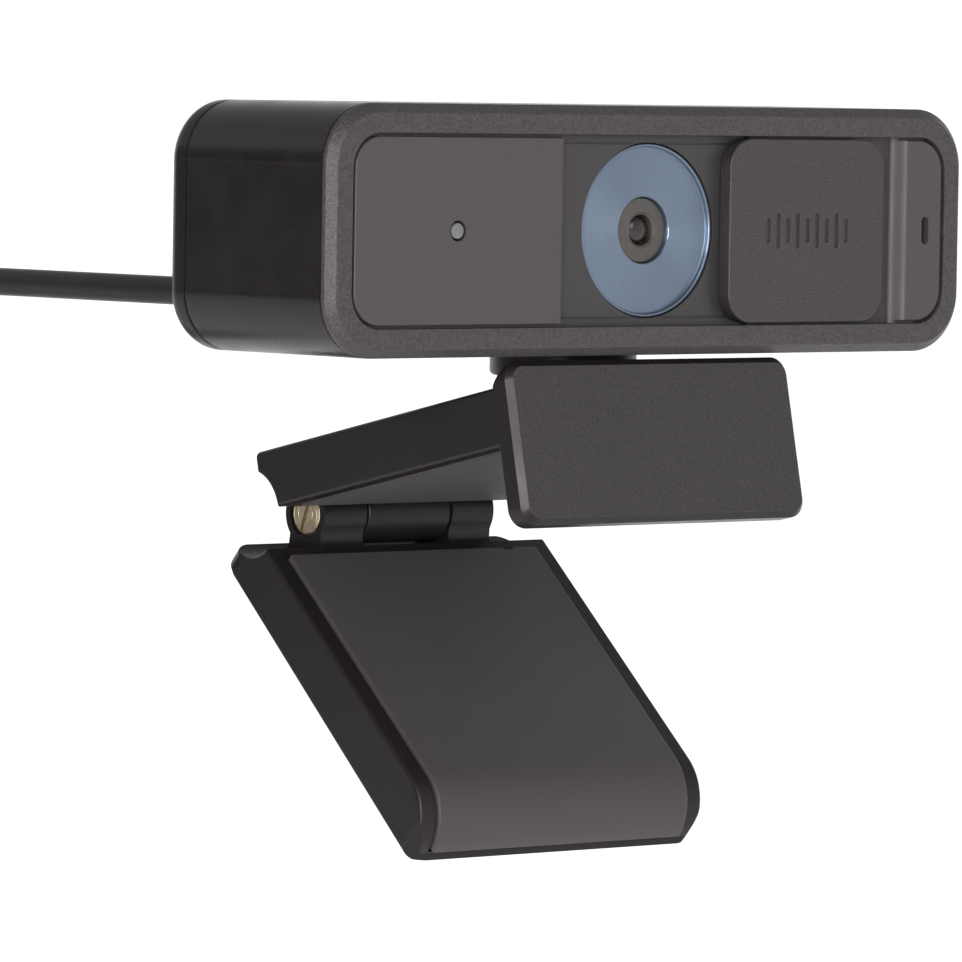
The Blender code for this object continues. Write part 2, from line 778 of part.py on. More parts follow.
def make_leg():
    half = CLIP_W / 2
    end = (LEG_ARC_AT, LEG_FACE - LEG_ARC_R)
    scoop_to = math.degrees(math.asin(LEG_FACE / LEG_RELIEF_R))
    outline = [
        *arc((0, 0), LEG_RELIEF_R, -90, scoop_to, 8),
        *arc(end, LEG_ARC_R, 90, 2, 9),
        (LEG_TIP + 0.4, LEG_TIP_BACK + 0.4),
        (LEG_TIP - 0.3, LEG_TIP_BACK),
        (LEG_TOP, LEG_TOP_BACK),
        (0.9, LEG_TOP_BACK + 0.6),
        (0, LEG_TOP_BACK + 1.6),
    ]
    leg = prism(
        "clip_leg",
        mirrored(outline),
        -half,
        half,
        "X",
        LEG,
        bevels=[(-half, 0.5, 2), (half, 0.5, 2)],
    )
    web_outline = [
        (-0.5, -3.6),
        (0.4, -5.0),
        (3.2, -6.2),
        (6.5, -5.0),
        (6.5, LEG_FACE - 0.1),
        (4.7, LEG_FACE - 0.05),
        (3.3, 1.2),
    ]
    for name, low, high in (("left", -BARREL_HALF, -6.45), ("right", 6.45, BARREL_HALF)):
        web = prism(
            f"leg_web_{name}", mirrored(web_outline), low + 0.1, high - 0.1, "X", LEG, CUTTERS
        )
        knuckle = cylinder(
            f"leg_knuckle_{name}", BARREL_R, low, high, "X", (0, 0), LEG, CUTTERS, 28
        )
        join(leg, web, knuckle)
    for side in (-1, 1):
        for name, tip, way in (("top", 0, 1), ("tip", LEG_TIP + 0.4, -1)):
            cut(leg, leg_corner_cutter(f"leg_{name}_corner_{side}", side, tip, way))
    shank = cylinder("hinge_bore", 1.6, -14, 14, "X", (0, 0), LEG, CUTTERS, 16)
    head_seat = cylinder("head_seat", 2.7, -14, -11.2, "X", (0, 0), LEG, CUTTERS, 24)
    nut_seat = cylinder("nut_seat", 3.05, 10.4, 14, "X", (0, 0), LEG, CUTTERS, 6)
    pocket = prism(
        "leg_pad_pocket",
        mirrored(leg_pad_outline(1.2, 6.1, 4)),
        -LEG_PAD_HALF - 0.2,
        LEG_PAD_HALF + 0.2,
        "X",
        LEG,
        CUTTERS,
    )
    insert_seat = cylinder(
        "insert_seat", 4.1, INSERT_BACK - 1, INSERT_BACK + 4.1, "Z", (0, -INSERT_AT), LEG, CUTTERS, 24
    )
    cut(leg, shank, head_seat, nut_seat, pocket, insert_seat)
    paint(leg, BLACK, 0.5)

    pad = prism(
        "leg_pad",
        mirrored(leg_pad_outline(1.05, 6.3, 6, proud=PAD_PROUD)),
        -LEG_PAD_HALF,
        LEG_PAD_HALF,
        "X",
        LEG,
    )
    paint(pad, GRAPHITE, 0.7)

    head = 0.1 - BARREL_HALF
    screw_profile = [(0, 0), (2.3, 0), (2.55, -0.25), (2.55, -1.3), (1.4, -1.3), (1.4, -24.6), (0, -24.6)]
    screw = turned("hinge_screw", screw_profile, (head, 0, 0), (0, -90, 0), LEG, 24)
    slot = box("screw_slot", (head - 1, -0.3, -4), (head + 0.6, 0.3, 4), LEG, CUTTERS)
    slot.rotation_euler.x = math.radians(-21.5)
    cut(screw, slot)
    paint(screw, BRASS, 0.3, 1.0)
    nut = cylinder("hinge_nut", 2.85, 10.6, 12.7, "X", (0, 0), LEG, steps=6)
    nut_bore = cylinder("nut_bore", 1.55, 10, 14, "X", (0, 0), LEG, CUTTERS, 16)
    cut(nut, nut_bore)
    paint(nut, BRASS, 0.3, 1.0)
    insert = cylinder(
        "tripod_insert",
        4.0,
        INSERT_BACK - 0.1,
        INSERT_BACK + 3.95,
        "Z",
        (0, -INSERT_AT),
        LEG,
        steps=24,
    )
    thread = cylinder(
        "insert_thread", 2.75, INSERT_BACK - 1, INSERT_BACK + 3.2, "Z", (0, -INSERT_AT), LEG, CUTTERS
    )
    cut(insert, thread)
    paint(insert, BRASS, 0.3, 1.0)


def leg_corner_cutter(name, side, tip, way):
    """What is cut off one corner of the leg, seen square to its face, to round it."""
    x, s = CLIP_W / 2 - LEG_CORNER_R + 0.01, tip + way * (LEG_CORNER_R - 0.01)
    bend = arc((x, s), LEG_CORNER_R, 0, -90 * way, 7)
    outline = [*bend, (x, tip - 2 * way), (x + LEG_CORNER_R + 2, tip - 2 * way), (x + LEG_CORNER_R + 2, s)]
    return prism(name, [(side * u, -v) for u, v in outline], -12, 3, "Z", LEG, CUTTERS)


def leg_pad_outline(depth, start, stop_angle, proud=0.0):
    """The band of the pad: down the leg's face and round its end; proud lifts its outer face."""
    end = (LEG_ARC_AT, LEG_FACE - LEG_ARC_R)
    lift = proud if proud else 1.0
    return [
        (start, LEG_FACE + lift),
        *arc(end, LEG_ARC_R + lift, 90, stop_angle, 8),
        *arc(end, LEG_ARC_R - depth, stop_angle, 90, 8),
        (start, LEG_FACE - depth),
    ]


# Cable ---------------------------------------------------------------------------------------


def make_cable():
    relief_profile = [
        (0, 16.0),
        (1.9, 16.0),
        (2.4, 5.6),
        (2.4, 1.75),
        (2.9, 1.75),
        (2.9, 0),
        (0, 0),
    ]
    relief = turned(
        "strain_relief",
        relief_profile,
        (EXIT_X, RELIEF_END - 16.0, EXIT_Z),
        (-90, 0, 0),
        HOUSING,
        20,
    )
    paint(relief, BLACK, 0.6)
    lead = [
        (-27.0, 17.6, -7.1),
        (-27.0, 18.4, -7.1),
        (-28.6, 19.8, -7.1),
        (-32.0, 20.3, -7.3),
        (-35.0, 20.9, -7.7),
        (-36.0, 22.2, -7.8),
        (-36.0, 23.1, -7.8),
    ]
    inner = tube("inner_lead", lead, 2.6, HOUSING, 3)
    paint(inner, BLACK, 0.6)
    cable = tube("usb_cable", CABLE_ROUTE, CABLE_D, HOUSING, 2)
    paint(cable, BLACK, 0.5)
    tail = tube("usb_tail", TAIL_ROUTE, CABLE_D, HOUSING, 2)
    paint(tail, BLACK, 0.5)

    half_width = COIL_COLUMNS * CABLE_D / 2
    half_depth = COIL_LAYERS * CABLE_D / 2
    section = rounded_rect(2 * half_depth, 2 * half_width, 1.5, 2, at=(COIL_R, 0))
    # Run the section down its outer side first, so that the ring faces outwards.
    coil = turned(
        "cable_coil",
        section[::-1],
        (EXIT_X, COIL_Y, COIL_Z),
        (0, 90, 0),
        HOUSING,
        36,
        ring=True,
    )
    paint(coil, BLACK, 0.5)

    # The tie is a short sleeve round the coil's section, at one place on the ring.
    spot = bpy.data.objects.new("tie_axis", None)
    spot.parent = HOUSING
    angle = math.radians(TIE_ANGLE)
    spot.location = (
        EXIT_X * MM,
        (COIL_Y + COIL_R * math.cos(angle)) * MM,
        (COIL_Z + COIL_R * math.sin(angle)) * MM,
    )
    spot.rotation_euler.x = angle
    PARTS.objects.link(spot)
    tie = prism(
        "cable_tie",
        rounded_rect(2 * half_width + 2.4, 2 * half_depth + 2.6, 1.8, 3),
        -2.5,
        2.5,
        "Z",
        spot,
    )
    inside = prism(
        "tie_inside",
        rounded_rect(2 * half_width + 1.0, 2 * half_depth + 1.2, 1.4, 3),
        -4,
        4,
        "Z",
        spot,
        CUTTERS,
    )
    cut(tie, inside)
    paint(tie, BLACK, 0.8)
    make_plug()


def make_plug():
    body = box(
        "usb_plug_body",
        (PLUG_X - 4.0, PLUG_Y - 7.8, -94),
        (PLUG_X + 4.0, PLUG_Y + 7.8, -70),
        HOUSING,
        bevel=1.0,
    )
    neck = cylinder(
        "plug_neck",
        3.2,
        -71,
        -61.7,
        "Z",
        (PLUG_X, PLUG_Y),
        HOUSING,
        CUTTERS,
        end_radius=2.2,
    )
    join(body, neck)
    paint(body, BLACK, 0.5)
    shell = box(
        "usb_plug_shell",
        (PLUG_X - 2.25, PLUG_Y - 6.0, -106.3),
        (PLUG_X + 2.25, PLUG_Y + 6.0, -94.3),
        HOUSING,
    )
    inside = box(
        "plug_shell_inside",
        (PLUG_X - 1.9, PLUG_Y - 5.65, -108),
        (PLUG_X + 1.9, PLUG_Y + 5.65, -94.8),
        HOUSING,
        CUTTERS,
    )
    cut(shell, inside)
    paint(shell, STEEL, 0.25, 1.0)
    tongue = box(
        "usb_plug_tongue",
        (PLUG_X - 1.7, PLUG_Y - 5.45, -105.9),
        (PLUG_X - 0.1, PLUG_Y + 5.45, -95.0),
        HOUSING,
    )
    paint(tongue, (0.7, 0.7, 0.7), 0.5)


make_front_frame()
make_main_shell()
make_rear_cover()
make_face_panel()
make_shutter()
make_lens()
make_board()
make_neck()
make_arm()
make_leg()
make_cable()
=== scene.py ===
"""Looks of a bar webcam on a folding monitor clip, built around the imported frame.

Shapes are written in millimetres in one of three local frames, each a matrix into the row frame:
the housing's (origin on its front plane, y backwards), the clip's (y along the arm) and the
leg's (-y down the leg, z out of its pad).
"""

import math

import bmesh
import bpy
from mathutils import Matrix, Vector


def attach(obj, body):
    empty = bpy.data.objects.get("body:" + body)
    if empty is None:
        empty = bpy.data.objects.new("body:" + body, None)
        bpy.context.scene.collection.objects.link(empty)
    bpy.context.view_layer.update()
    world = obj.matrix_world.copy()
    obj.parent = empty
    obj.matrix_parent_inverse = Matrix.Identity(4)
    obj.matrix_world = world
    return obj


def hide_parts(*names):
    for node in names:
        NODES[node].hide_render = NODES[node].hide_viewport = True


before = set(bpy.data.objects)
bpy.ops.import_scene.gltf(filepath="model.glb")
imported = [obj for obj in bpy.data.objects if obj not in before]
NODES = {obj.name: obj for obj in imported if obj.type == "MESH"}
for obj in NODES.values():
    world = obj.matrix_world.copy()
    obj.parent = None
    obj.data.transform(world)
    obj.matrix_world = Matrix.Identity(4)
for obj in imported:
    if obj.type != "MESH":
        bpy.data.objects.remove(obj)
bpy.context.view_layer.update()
MM = 0.001

LEAN, LEG_OPEN, HINGE_Y = 12.4, 54.6, 25.6
HOUSING_Y, HOUSING_Z = -21.0, 28.4
PAN_Y, TILT_Z = -5.2, 8.4
HOUSING = Matrix.Translation(Vector((0, HOUSING_Y, HOUSING_Z)) * MM)
CLIP = Matrix.Rotation(math.radians(-LEAN), 4, "X")
LEG = (
    CLIP
    @ Matrix.Translation(Vector((0, HINGE_Y, 0)) * MM)
    @ Matrix.Rotation(math.radians(LEG_OPEN), 4, "X")
)
PAN = Matrix.Translation(Vector((0, PAN_Y, 0)) * MM)


# Camera -------------------------------------------------------------------------------------

AZIMUTH, ELEVATION, ROLL = -40.514, 2.961, 0.933
CAMERA_AT = Vector((-594.83, -687.30, 46.20)) * MM
LENS = 298.15


def make_camera():
    a, e, r = (math.radians(x) for x in (AZIMUTH, ELEVATION, ROLL))
    back = Vector((math.sin(a) * math.cos(e), -math.cos(a) * math.cos(e), math.sin(e)))
    level = Vector((math.cos(a), math.sin(a), 0))
    up = back.cross(level)
    right = math.cos(r) * level + math.sin(r) * up
    top = math.cos(r) * up - math.sin(r) * level
    data = bpy.data.cameras.new("camera")
    data.lens = LENS
    data.sensor_width = 36
    data.clip_start, data.clip_end = 0.01, 100
    camera = bpy.data.objects.new("camera", data)
    turn = Matrix((right, top, back)).transposed().to_4x4()
    camera.matrix_world = Matrix.Translation(CAMERA_AT) @ turn
    bpy.context.scene.collection.objects.link(camera)
    bpy.context.scene.camera = camera


make_camera()


# Mesh tools ---------------------------------------------------------------------------------


def arc(centre, radius, start, stop, count):
    """Points of an arc, both ends included; angles in degrees."""
    angles = [math.radians(start + (stop - start) * i / count) for i in range(count + 1)]
    return [(centre[0] + radius * math.cos(t), centre[1] + radius * math.sin(t)) for t in angles]


def rounded_rect(width, height, radius, count=12, at=(0.0, 0.0)):
    x, y = width / 2 - radius, height / 2 - radius
    corners = ((x, y, 0), (-x, y, 90), (-x, -y, 180), (x, -y, 270))
    return [
        point
        for cx, cy, turn in corners
        for point in arc((at[0] + cx, at[1] + cy), radius, turn, turn + 90, count)
    ]


def lift(outline, run, at):
    """An outline's points in three dimensions, on the plane at that place along the run axis."""
    spread = {
        "X": lambda u, v: (at, u, v),
        "Y": lambda u, v: (u, at, v),
        "Z": lambda u, v: (u, v, at),
    }[run]
    return [Vector(spread(u, v)) * MM for u, v in outline]


def mesh_from(bm):
    bmesh.ops.recalc_face_normals(bm, faces=bm.faces)
    if bm.calc_volume(signed=True) < 0:
        bmesh.ops.reverse_faces(bm, faces=bm.faces)
    mesh = bpy.data.meshes.new("shape")
    bm.to_mesh(mesh)
    bm.free()
    return mesh


def loft(loops, ring=False):
    """Skin over loops of equal length; a ring joins last to first, else both ends are capped."""
    bm = bmesh.new()
    rows = [[bm.verts.new(p) for p in loop] for loop in loops]
    pairs = list(zip(rows, rows[1:]))
    if ring:
        pairs.append((rows[-1], rows[0]))
    count = len(rows[0])
    for first, second in pairs:
        for i in range(count):
            j = (i + 1) % count
            bm.faces.new((first[i], first[j], second[j], second[i]))
    if not ring:
        bm.faces.new(rows[0])
        bm.faces.new(rows[-1])
    return mesh_from(bm)


def quarter(radius, count=5):
    """(inset, depth) steps of a quarter round from the flat face to the side wall."""
    steps = [math.radians(90 * i / count) for i in range(count + 1)]
    return [(radius * (1 - math.sin(t)), radius * (1 - math.cos(t))) for t in steps]


def slab(width, height, radius, low, high, run="Y", at=(0, 0), front=0.0, back=0.0, count=12):
    """Rounded-rectangle plate; front and back are the rim radii at its low and high ends."""
    stations = [(inset, low + depth) for inset, depth in quarter(front)] if front else [(0, low)]
    ends = [(inset, high - depth) for inset, depth in quarter(back)] if back else [(0, high)]
    stations += ends[::-1]
    loops = [
        lift(
            rounded_rect(width - 2 * d, height - 2 * d, max(radius - d, 0.05), count, at),
            run,
            place,
        )
        for d, place in stations
    ]
    return loft(loops)


def prism(outline, low, high, run="X", rim=0.0, segments=3):
    """Any flat outline run along one axis, with its two rims rounded off."""
    bm = bmesh.new()
    first = [bm.verts.new(p) for p in lift(outline, run, low)]
    second = [bm.verts.new(p) for p in lift(outline, run, high)]
    count = len(first)
    for i in range(count):
        j = (i + 1) % count
        bm.faces.new((first[i], first[j], second[j], second[i]))
    caps = [bm.faces.new(first), bm.faces.new(second)]
    bmesh.ops.recalc_face_normals(bm, faces=bm.faces)
    if rim:
        edges = list({edge for cap in caps for edge in cap.edges})
        bmesh.ops.bevel(
            bm, geom=edges, offset=rim * MM, segments=segments, profile=0.5, affect="EDGES"
        )
    return mesh_from(bm)


def turned(profile, run="Y", at=(0.0, 0.0), steps=64):
    """Solid turned from (radius, place) points: closed by its axis points, or else a ring."""
    loops = []
    bm = bmesh.new()

    def spot(radius, place, t):
        u, v = at[0] + radius * math.cos(t), at[1] + radius * math.sin(t)
        return lift([(u, v)], run, place)[0]

    for radius, place in profile:
        if radius < 1e-6:
            loops.append([bm.verts.new(spot(0, place, 0))])
        else:
            loops.append(
                [bm.verts.new(spot(radius, place, 2 * math.pi * i / steps)) for i in range(steps)]
            )
    closed = len(loops[0]) > 1
    pairs = list(zip(loops, loops[1:])) + ([(loops[-1], loops[0])] if closed else [])
    for first, second in pairs:
        for i in range(steps):
            j = (i + 1) % steps
            corners = [
                first[i % len(first)],
                first[j % len(first)],
                second[j % len(second)],
                second[i % len(second)],
            ]
            corners = list(dict.fromkeys(corners))
            if len(corners) > 2:
                bm.faces.new(corners)
    return mesh_from(bm)


def rod(radius, low, high, run, at=(0, 0), rim=0.0, steps=48, count=3):
    """Cylinder whose two rims are rounded off."""
    rims = quarter(rim, count) if rim else [(0, 0)]
    head = [(radius - inset, low + depth) for inset, depth in rims]
    tail = [(radius - inset, high - depth) for inset, depth in rims][::-1]
    return turned([(0, low), *head, *tail, (0, high)], run, at, steps)


def carve(base, joined=(), cut=()):
    """The base mesh with some shapes joined on and then others cut away."""
    objects = []
    for mesh in (base, *joined, *cut):
        obj = bpy.data.objects.new("operand", mesh)
        bpy.context.scene.collection.objects.link(obj)
        objects.append(obj)
    for i, other in enumerate(objects[1:]):
        modifier = objects[0].modifiers.new("carve", "BOOLEAN")
        modifier.operation = "UNION" if i < len(joined) else "DIFFERENCE"
        modifier.solver = "EXACT"
        modifier.object = other
    made = bpy.data.meshes.new_from_object(
        objects[0].evaluated_get(bpy.context.evaluated_depsgraph_get())
    )
    for obj in objects:
        bpy.data.objects.remove(obj)
    return made


def piece(name, mesh, place, material, body, nodes=(), edge=0.0, sharp=32, steps=2):
    """A finished piece: its mesh put in the row frame, softened, shaded and set on its body."""
    mesh.transform(place)
    mesh.name = name
    mesh.materials.clear()
    mesh.materials.append(material)
    obj = bpy.data.objects.new(name, mesh)
    bpy.context.scene.collection.objects.link(obj)
    if edge:
        bm = bmesh.new()
        bm.from_mesh(mesh)
        bmesh.ops.remove_doubles(bm, verts=bm.verts, dist=2e-6)
        bmesh.ops.dissolve_limit(
            bm, angle_limit=math.radians(0.5), verts=bm.verts, edges=bm.edges
        )
        bm.to_mesh(mesh)
        bm.free()
        bevel = obj.modifiers.new("edge", "BEVEL")
        bevel.width = edge * MM
        bevel.segments = steps
        bevel.limit_method = "ANGLE"
        bevel.angle_limit = math.radians(sharp)
    mesh.shade_smooth()
    mesh.set_sharp_from_angle(angle=math.radians(sharp))
    if edge:
        apply_all(obj)
        obj.data.shade_smooth()
        obj.data.set_sharp_from_angle(angle=math.radians(50))
    weighted = obj.modifiers.new("normals", "WEIGHTED_NORMAL")
    weighted.keep_sharp = True
    weighted.weight = 60
    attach(obj, body)
    if nodes:
        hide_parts(*nodes)
    return obj


def apply_all(obj):
    graph = bpy.context.evaluated_depsgraph_get()
    made = bpy.data.meshes.new_from_object(obj.evaluated_get(graph))
    obj.modifiers.clear()
    obj.data = made


# Materials ----------------------------------------------------------------------------------


class Paint:
    """A node material built step by step; lengths are in millimetres."""

    def __init__(self, name, colour, roughness, metallic=0.0, specular=0.5):
        self.material = bpy.data.materials.new(name)
        self.material.use_nodes = True
        self.tree = self.material.node_tree
        self.shader = self.tree.nodes["Principled BSDF"]
        self.colour = colour
        self.shader.inputs["Base Color"].default_value = (*colour, 1)
        self.shader.inputs["Roughness"].default_value = roughness
        self.shader.inputs["Metallic"].default_value = metallic
        self.shader.inputs["Specular IOR Level"].default_value = specular
        if not metallic:
            self.shader.inputs["Specular Tint"].default_value = (1.0, 0.93, 0.94, 1)
        self.coords = self.tree.nodes.new("ShaderNodeTexCoord").outputs["Object"]
        self.normal = None

    def link(self, source, target):
        self.tree.links.new(source, target)

    def noise(self, size, detail=2.0, coords=None, roughness=0.5):
        node = self.tree.nodes.new("ShaderNodeTexNoise")
        node.inputs["Scale"].default_value = 1 / (size * MM)
        node.inputs["Detail"].default_value = detail
        node.inputs["Roughness"].default_value = roughness
        self.link(coords or self.coords, node.inputs["Vector"])
        return node.outputs["Fac"]

    def ramp(self, value, low, high, to_low, to_high):
        node = self.tree.nodes.new("ShaderNodeMapRange")
        for socket, number in zip(
            ("From Min", "From Max", "To Min", "To Max"), (low, high, to_low, to_high)
        ):
            node.inputs[socket].default_value = number
        self.link(value, node.inputs["Value"])
        return node.outputs["Result"]

    def math(self, operation, first, second):
        node = self.tree.nodes.new("ShaderNodeMath")
        node.operation = operation
        for socket, value in zip(node.inputs, (first, second)):
            if isinstance(value, (int, float)):
                socket.default_value = value
            else:
                self.link(value, socket)
        return node.outputs[0]

    def mix(self, factor, first, second):
        node = self.tree.nodes.new("ShaderNodeMix")
        node.data_type = "RGBA"
        sockets = [s for s in node.inputs if s.type == "RGBA"]
        for socket, value in zip(sockets, (first, second)):
            if isinstance(value, tuple):
                socket.default_value = (*value, 1)
            else:
                self.link(value, socket)
        self.link(factor, node.inputs["Factor"])
        return [s for s in node.outputs if s.type == "RGBA"][0]

    def tint(self, factor, share):
        """Colour swings by share about its mean as the factor goes from 0 to 1."""
        dark = tuple(c * (1 - share) for c in self.colour)
        light = tuple(min(1.0, c * (1 + share)) for c in self.colour)
        self.link(self.mix(factor, dark, light), self.shader.inputs["Base Color"])
        return self

    def rough(self, value, low, high, to_low, to_high):
        self.link(self.ramp(value, low, high, to_low, to_high), self.shader.inputs["Roughness"])
        return self

    def bump(self, height, depth, strength=1.0):
        node = self.tree.nodes.new("ShaderNodeBump")
        node.inputs["Distance"].default_value = depth * MM
        node.inputs["Strength"].default_value = strength
        self.link(height, node.inputs["Height"])
        if self.normal:
            self.link(self.normal, node.inputs["Normal"])
        self.normal = node.outputs["Normal"]
        self.link(self.normal, self.shader.inputs["Normal"])
        return self

    def axis(self, which):
        node = self.tree.nodes.new("ShaderNodeSeparateXYZ")
        self.link(self.coords, node.inputs[0])
        return node.outputs[which]

    def done(self):
        return self.material


def moulded(name, colour, roughness, grain=0.16, depth=0.006, mottle=0.1, specular=0.5):
    """Spark-eroded plastic: a fine grain in relief, faint flow marks and slightly uneven gloss."""
    made = Paint(name, colour, roughness, specular=specular)
    fine = made.noise(grain, 3.0, roughness=0.6)
    broad = made.noise(6.0, 3.0)
    speckle = made.ramp(fine, 0.38, 0.62, 0.0, 0.75)
    flow = made.math("MULTIPLY", broad, 0.25)
    made.tint(made.math("ADD", speckle, flow), mottle)
    made.rough(broad, 0.3, 0.7, roughness - 0.04, roughness + 0.05)
    made.bump(fine, depth)
    return made.done()


def rubber(name, colour, roughness, grain=0.09, depth=0.003, specular=0.4):
    """Silicone pad: nearly even, with a soft bloom and dust-fine relief."""
    made = Paint(name, colour, roughness, specular=specular)
    fine = made.noise(grain, 2.0)
    bloom = made.noise(4.5, 4.0, roughness=0.7)
    made.tint(bloom, 0.08)
    made.rough(bloom, 0.25, 0.75, roughness - 0.05, roughness + 0.06)
    made.bump(fine, depth)
    made.shader.inputs["Sheen Weight"].default_value = 0.04
    made.shader.inputs["Sheen Roughness"].default_value = 0.5
    return made.done()


def metal(name, colour, roughness, streak=(0.02, 0.4, 0.02), depth=0.0015):
    """Machined metal: fine tool marks drawn out along one axis, and patchy polish."""
    made = Paint(name, colour, roughness, metallic=1.0)
    mapping = made.tree.nodes.new("ShaderNodeMapping")
    mapping.inputs["Scale"].default_value = tuple(0.05 / s for s in streak)
    made.link(made.coords, mapping.inputs["Vector"])
    marks = made.noise(0.05, 2.0, mapping.outputs["Vector"])
    patch = made.noise(0.9, 3.0)
    made.tint(patch, 0.14)
    made.rough(patch, 0.3, 0.7, max(0.05, roughness - 0.08), roughness + 0.1)
    made.bump(marks, depth)
    return made.done()


def glass(name, colour, roughness, coat=0.0):
    made = Paint(name, colour, roughness, specular=0.4)
    haze = made.noise(0.8, 2.0)
    made.rough(haze, 0.3, 0.7, roughness, roughness + 0.03)
    made.tint(haze, 0.15)
    made.shader.inputs["Coat Weight"].default_value = coat
    made.shader.inputs["Coat Roughness"].default_value = 0.03
    return made.done()


def spun_blue():
    """Anodised lens ring: concentric turning marks, so that highlights fan out from its centre."""
    made = Paint("spun_blue", (0.141, 0.179, 0.238), 0.3, metallic=0.85)
    radial = made.tree.nodes.new("ShaderNodeTangent")
    radial.direction_type = "RADIAL"
    radial.axis = "Y"
    made.link(radial.outputs["Tangent"], made.shader.inputs["Tangent"])
    made.shader.inputs["Anisotropic"].default_value = 0.93
    made.shader.inputs["Anisotropic Rotation"].default_value = 0.25
    shifted = made.tree.nodes.new("ShaderNodeVectorMath")
    shifted.operation = "SUBTRACT"
    shifted.inputs[1].default_value = (0, 0, HOUSING_Z * MM)
    made.link(made.coords, shifted.inputs[0])
    apart = made.tree.nodes.new("ShaderNodeSeparateXYZ")
    made.link(shifted.outputs[0], apart.inputs[0])
    radius = made.math(
        "SQRT",
        made.math(
            "ADD",
            made.math("POWER", apart.outputs["X"], 2.0),
            made.math("POWER", apart.outputs["Z"], 2.0),
        ),
        0.0,
    )
    across = made.tree.nodes.new("ShaderNodeCombineXYZ")
    made.link(radius, across.inputs["X"])
    marks = made.noise(0.07, 3.0, across.outputs[0])
    made.tint(marks, 0.10)
    made.rough(marks, 0.3, 0.7, 0.24, 0.38)
    made.bump(marks, 0.001)
    return made.done()


def woven(name, colour):
    """Hook-and-loop strap: a tight ribbed weave with a soft nap."""
    made = Paint(name, colour, 0.85)
    wave = made.tree.nodes.new("ShaderNodeTexWave")
    wave.inputs["Scale"].default_value = 1 / (1.6 * MM)
    wave.inputs["Distortion"].default_value = 1.5
    wave.inputs["Detail"].default_value = 2.0
    made.link(made.coords, wave.inputs["Vector"])
    nap = made.noise(0.12, 3.0)
    made.tint(nap, 0.3)
    made.rough(nap, 0.2, 0.8, 0.78, 0.95)
    made.bump(wave.outputs["Fac"], 0.04, 0.6)
    made.bump(nap, 0.03, 0.6)
    made.shader.inputs["Sheen Weight"].default_value = 0.3
    return made.done()


def green_board():
    """Solder mask over copper: traces in relief, slightly lighter, with a glossy skin."""
    made = Paint("green_board", (0.012, 0.075, 0.035), 0.3)
    cells = made.tree.nodes.new("ShaderNodeTexBrick")
    cells.inputs["Scale"].default_value = 1 / (3.0 * MM)
    cells.inputs["Mortar Size"].default_value = 0.06
    cells.inputs["Color1"].default_value = (0.02, 0.11, 0.05, 1)
    cells.inputs["Color2"].default_value = (0.012, 0.075, 0.035, 1)
    cells.inputs["Mortar"].default_value = (0.03, 0.16, 0.07, 1)
    swap = made.tree.nodes.new("ShaderNodeCombineXYZ")
    made.link(made.axis("X"), swap.inputs["X"])
    made.link(made.axis("Z"), swap.inputs["Y"])
    made.link(swap.outputs[0], cells.inputs["Vector"])
    made.link(cells.outputs["Color"], made.shader.inputs["Base Color"])
    made.rough(made.noise(1.2), 0.3, 0.7, 0.22, 0.4)
    made.bump(cells.outputs["Fac"], 0.03)
    return made.done()


RIM = moulded("rim_grain", (0.0258, 0.0228, 0.0234), 0.4, 0.22, 0.085, 0.6, 0.44)
SHELL = moulded("shell_satin", (0.0092, 0.0077, 0.0080), 0.27, 0.15, 0.007, 0.16, 0.22)
PANEL = moulded("panel_grain", (0.0345, 0.0299, 0.031), 0.48, 0.16, 0.01, 0.07, 0.43)
TRACK = moulded("track_smooth", (0.0212, 0.0196, 0.0202), 0.36, 0.14, 0.004, 0.1, 0.42)
SLIDER = moulded("slider_grain", (0.0216, 0.0187, 0.0192), 0.42, 0.22, 0.075, 0.6, 0.43)
CLIP_BLACK = moulded("clip_satin", (0.0088, 0.0072, 0.0076), 0.34, 0.16, 0.008, 0.16, 0.21)
LIP_GRAIN = moulded("lip_grain", (0.0152, 0.0133, 0.0136), 0.42, 0.22, 0.07, 0.6, 0.44)
DARK = moulded("inner_black", (0.012, 0.012, 0.012), 0.6, 0.2, 0.006, 0.1)
PAD = rubber("pad_rubber", (0.0345, 0.0308, 0.0312), 0.48, specular=0.27)
JACKET = rubber("cable_jacket", (0.0068, 0.0058, 0.0060), 0.5, 0.2, 0.004, 0.18)
FOAM = rubber("gasket_foam", (0.02, 0.02, 0.02), 0.85, 0.3, 0.05)
BRASS = metal("turned_brass", (0.55, 0.47, 0.33), 0.4)
STEEL = metal("plated_steel", (0.60, 0.60, 0.61), 0.26)
BARREL = metal("barrel_metal", (0.108, 0.101, 0.094), 0.5, (0.03, 0.03, 0.4))
BLUE = spun_blue()
LENS_GLASS = glass("lens_glass", (0.012, 0.010, 0.011), 0.14, 0.1)
FILTER_GLASS = glass("filter_glass", (0.10, 0.20, 0.24), 0.04, 1.0)
LIGHT_GUIDE = glass("light_guide", (0.10, 0.098, 0.10), 0.3, 0.3)
STRAP = woven("strap_weave", (0.02, 0.02, 0.021))
BOARD = green_board()
NYLON = moulded("nylon_natural", (0.62, 0.60, 0.54), 0.5, 0.3, 0.004, 0.05)
WHITE = moulded("tongue_white", (0.75, 0.75, 0.74), 0.4, 0.3, 0.003, 0.03)


# Cable --------------------------------------------------------------------------------------

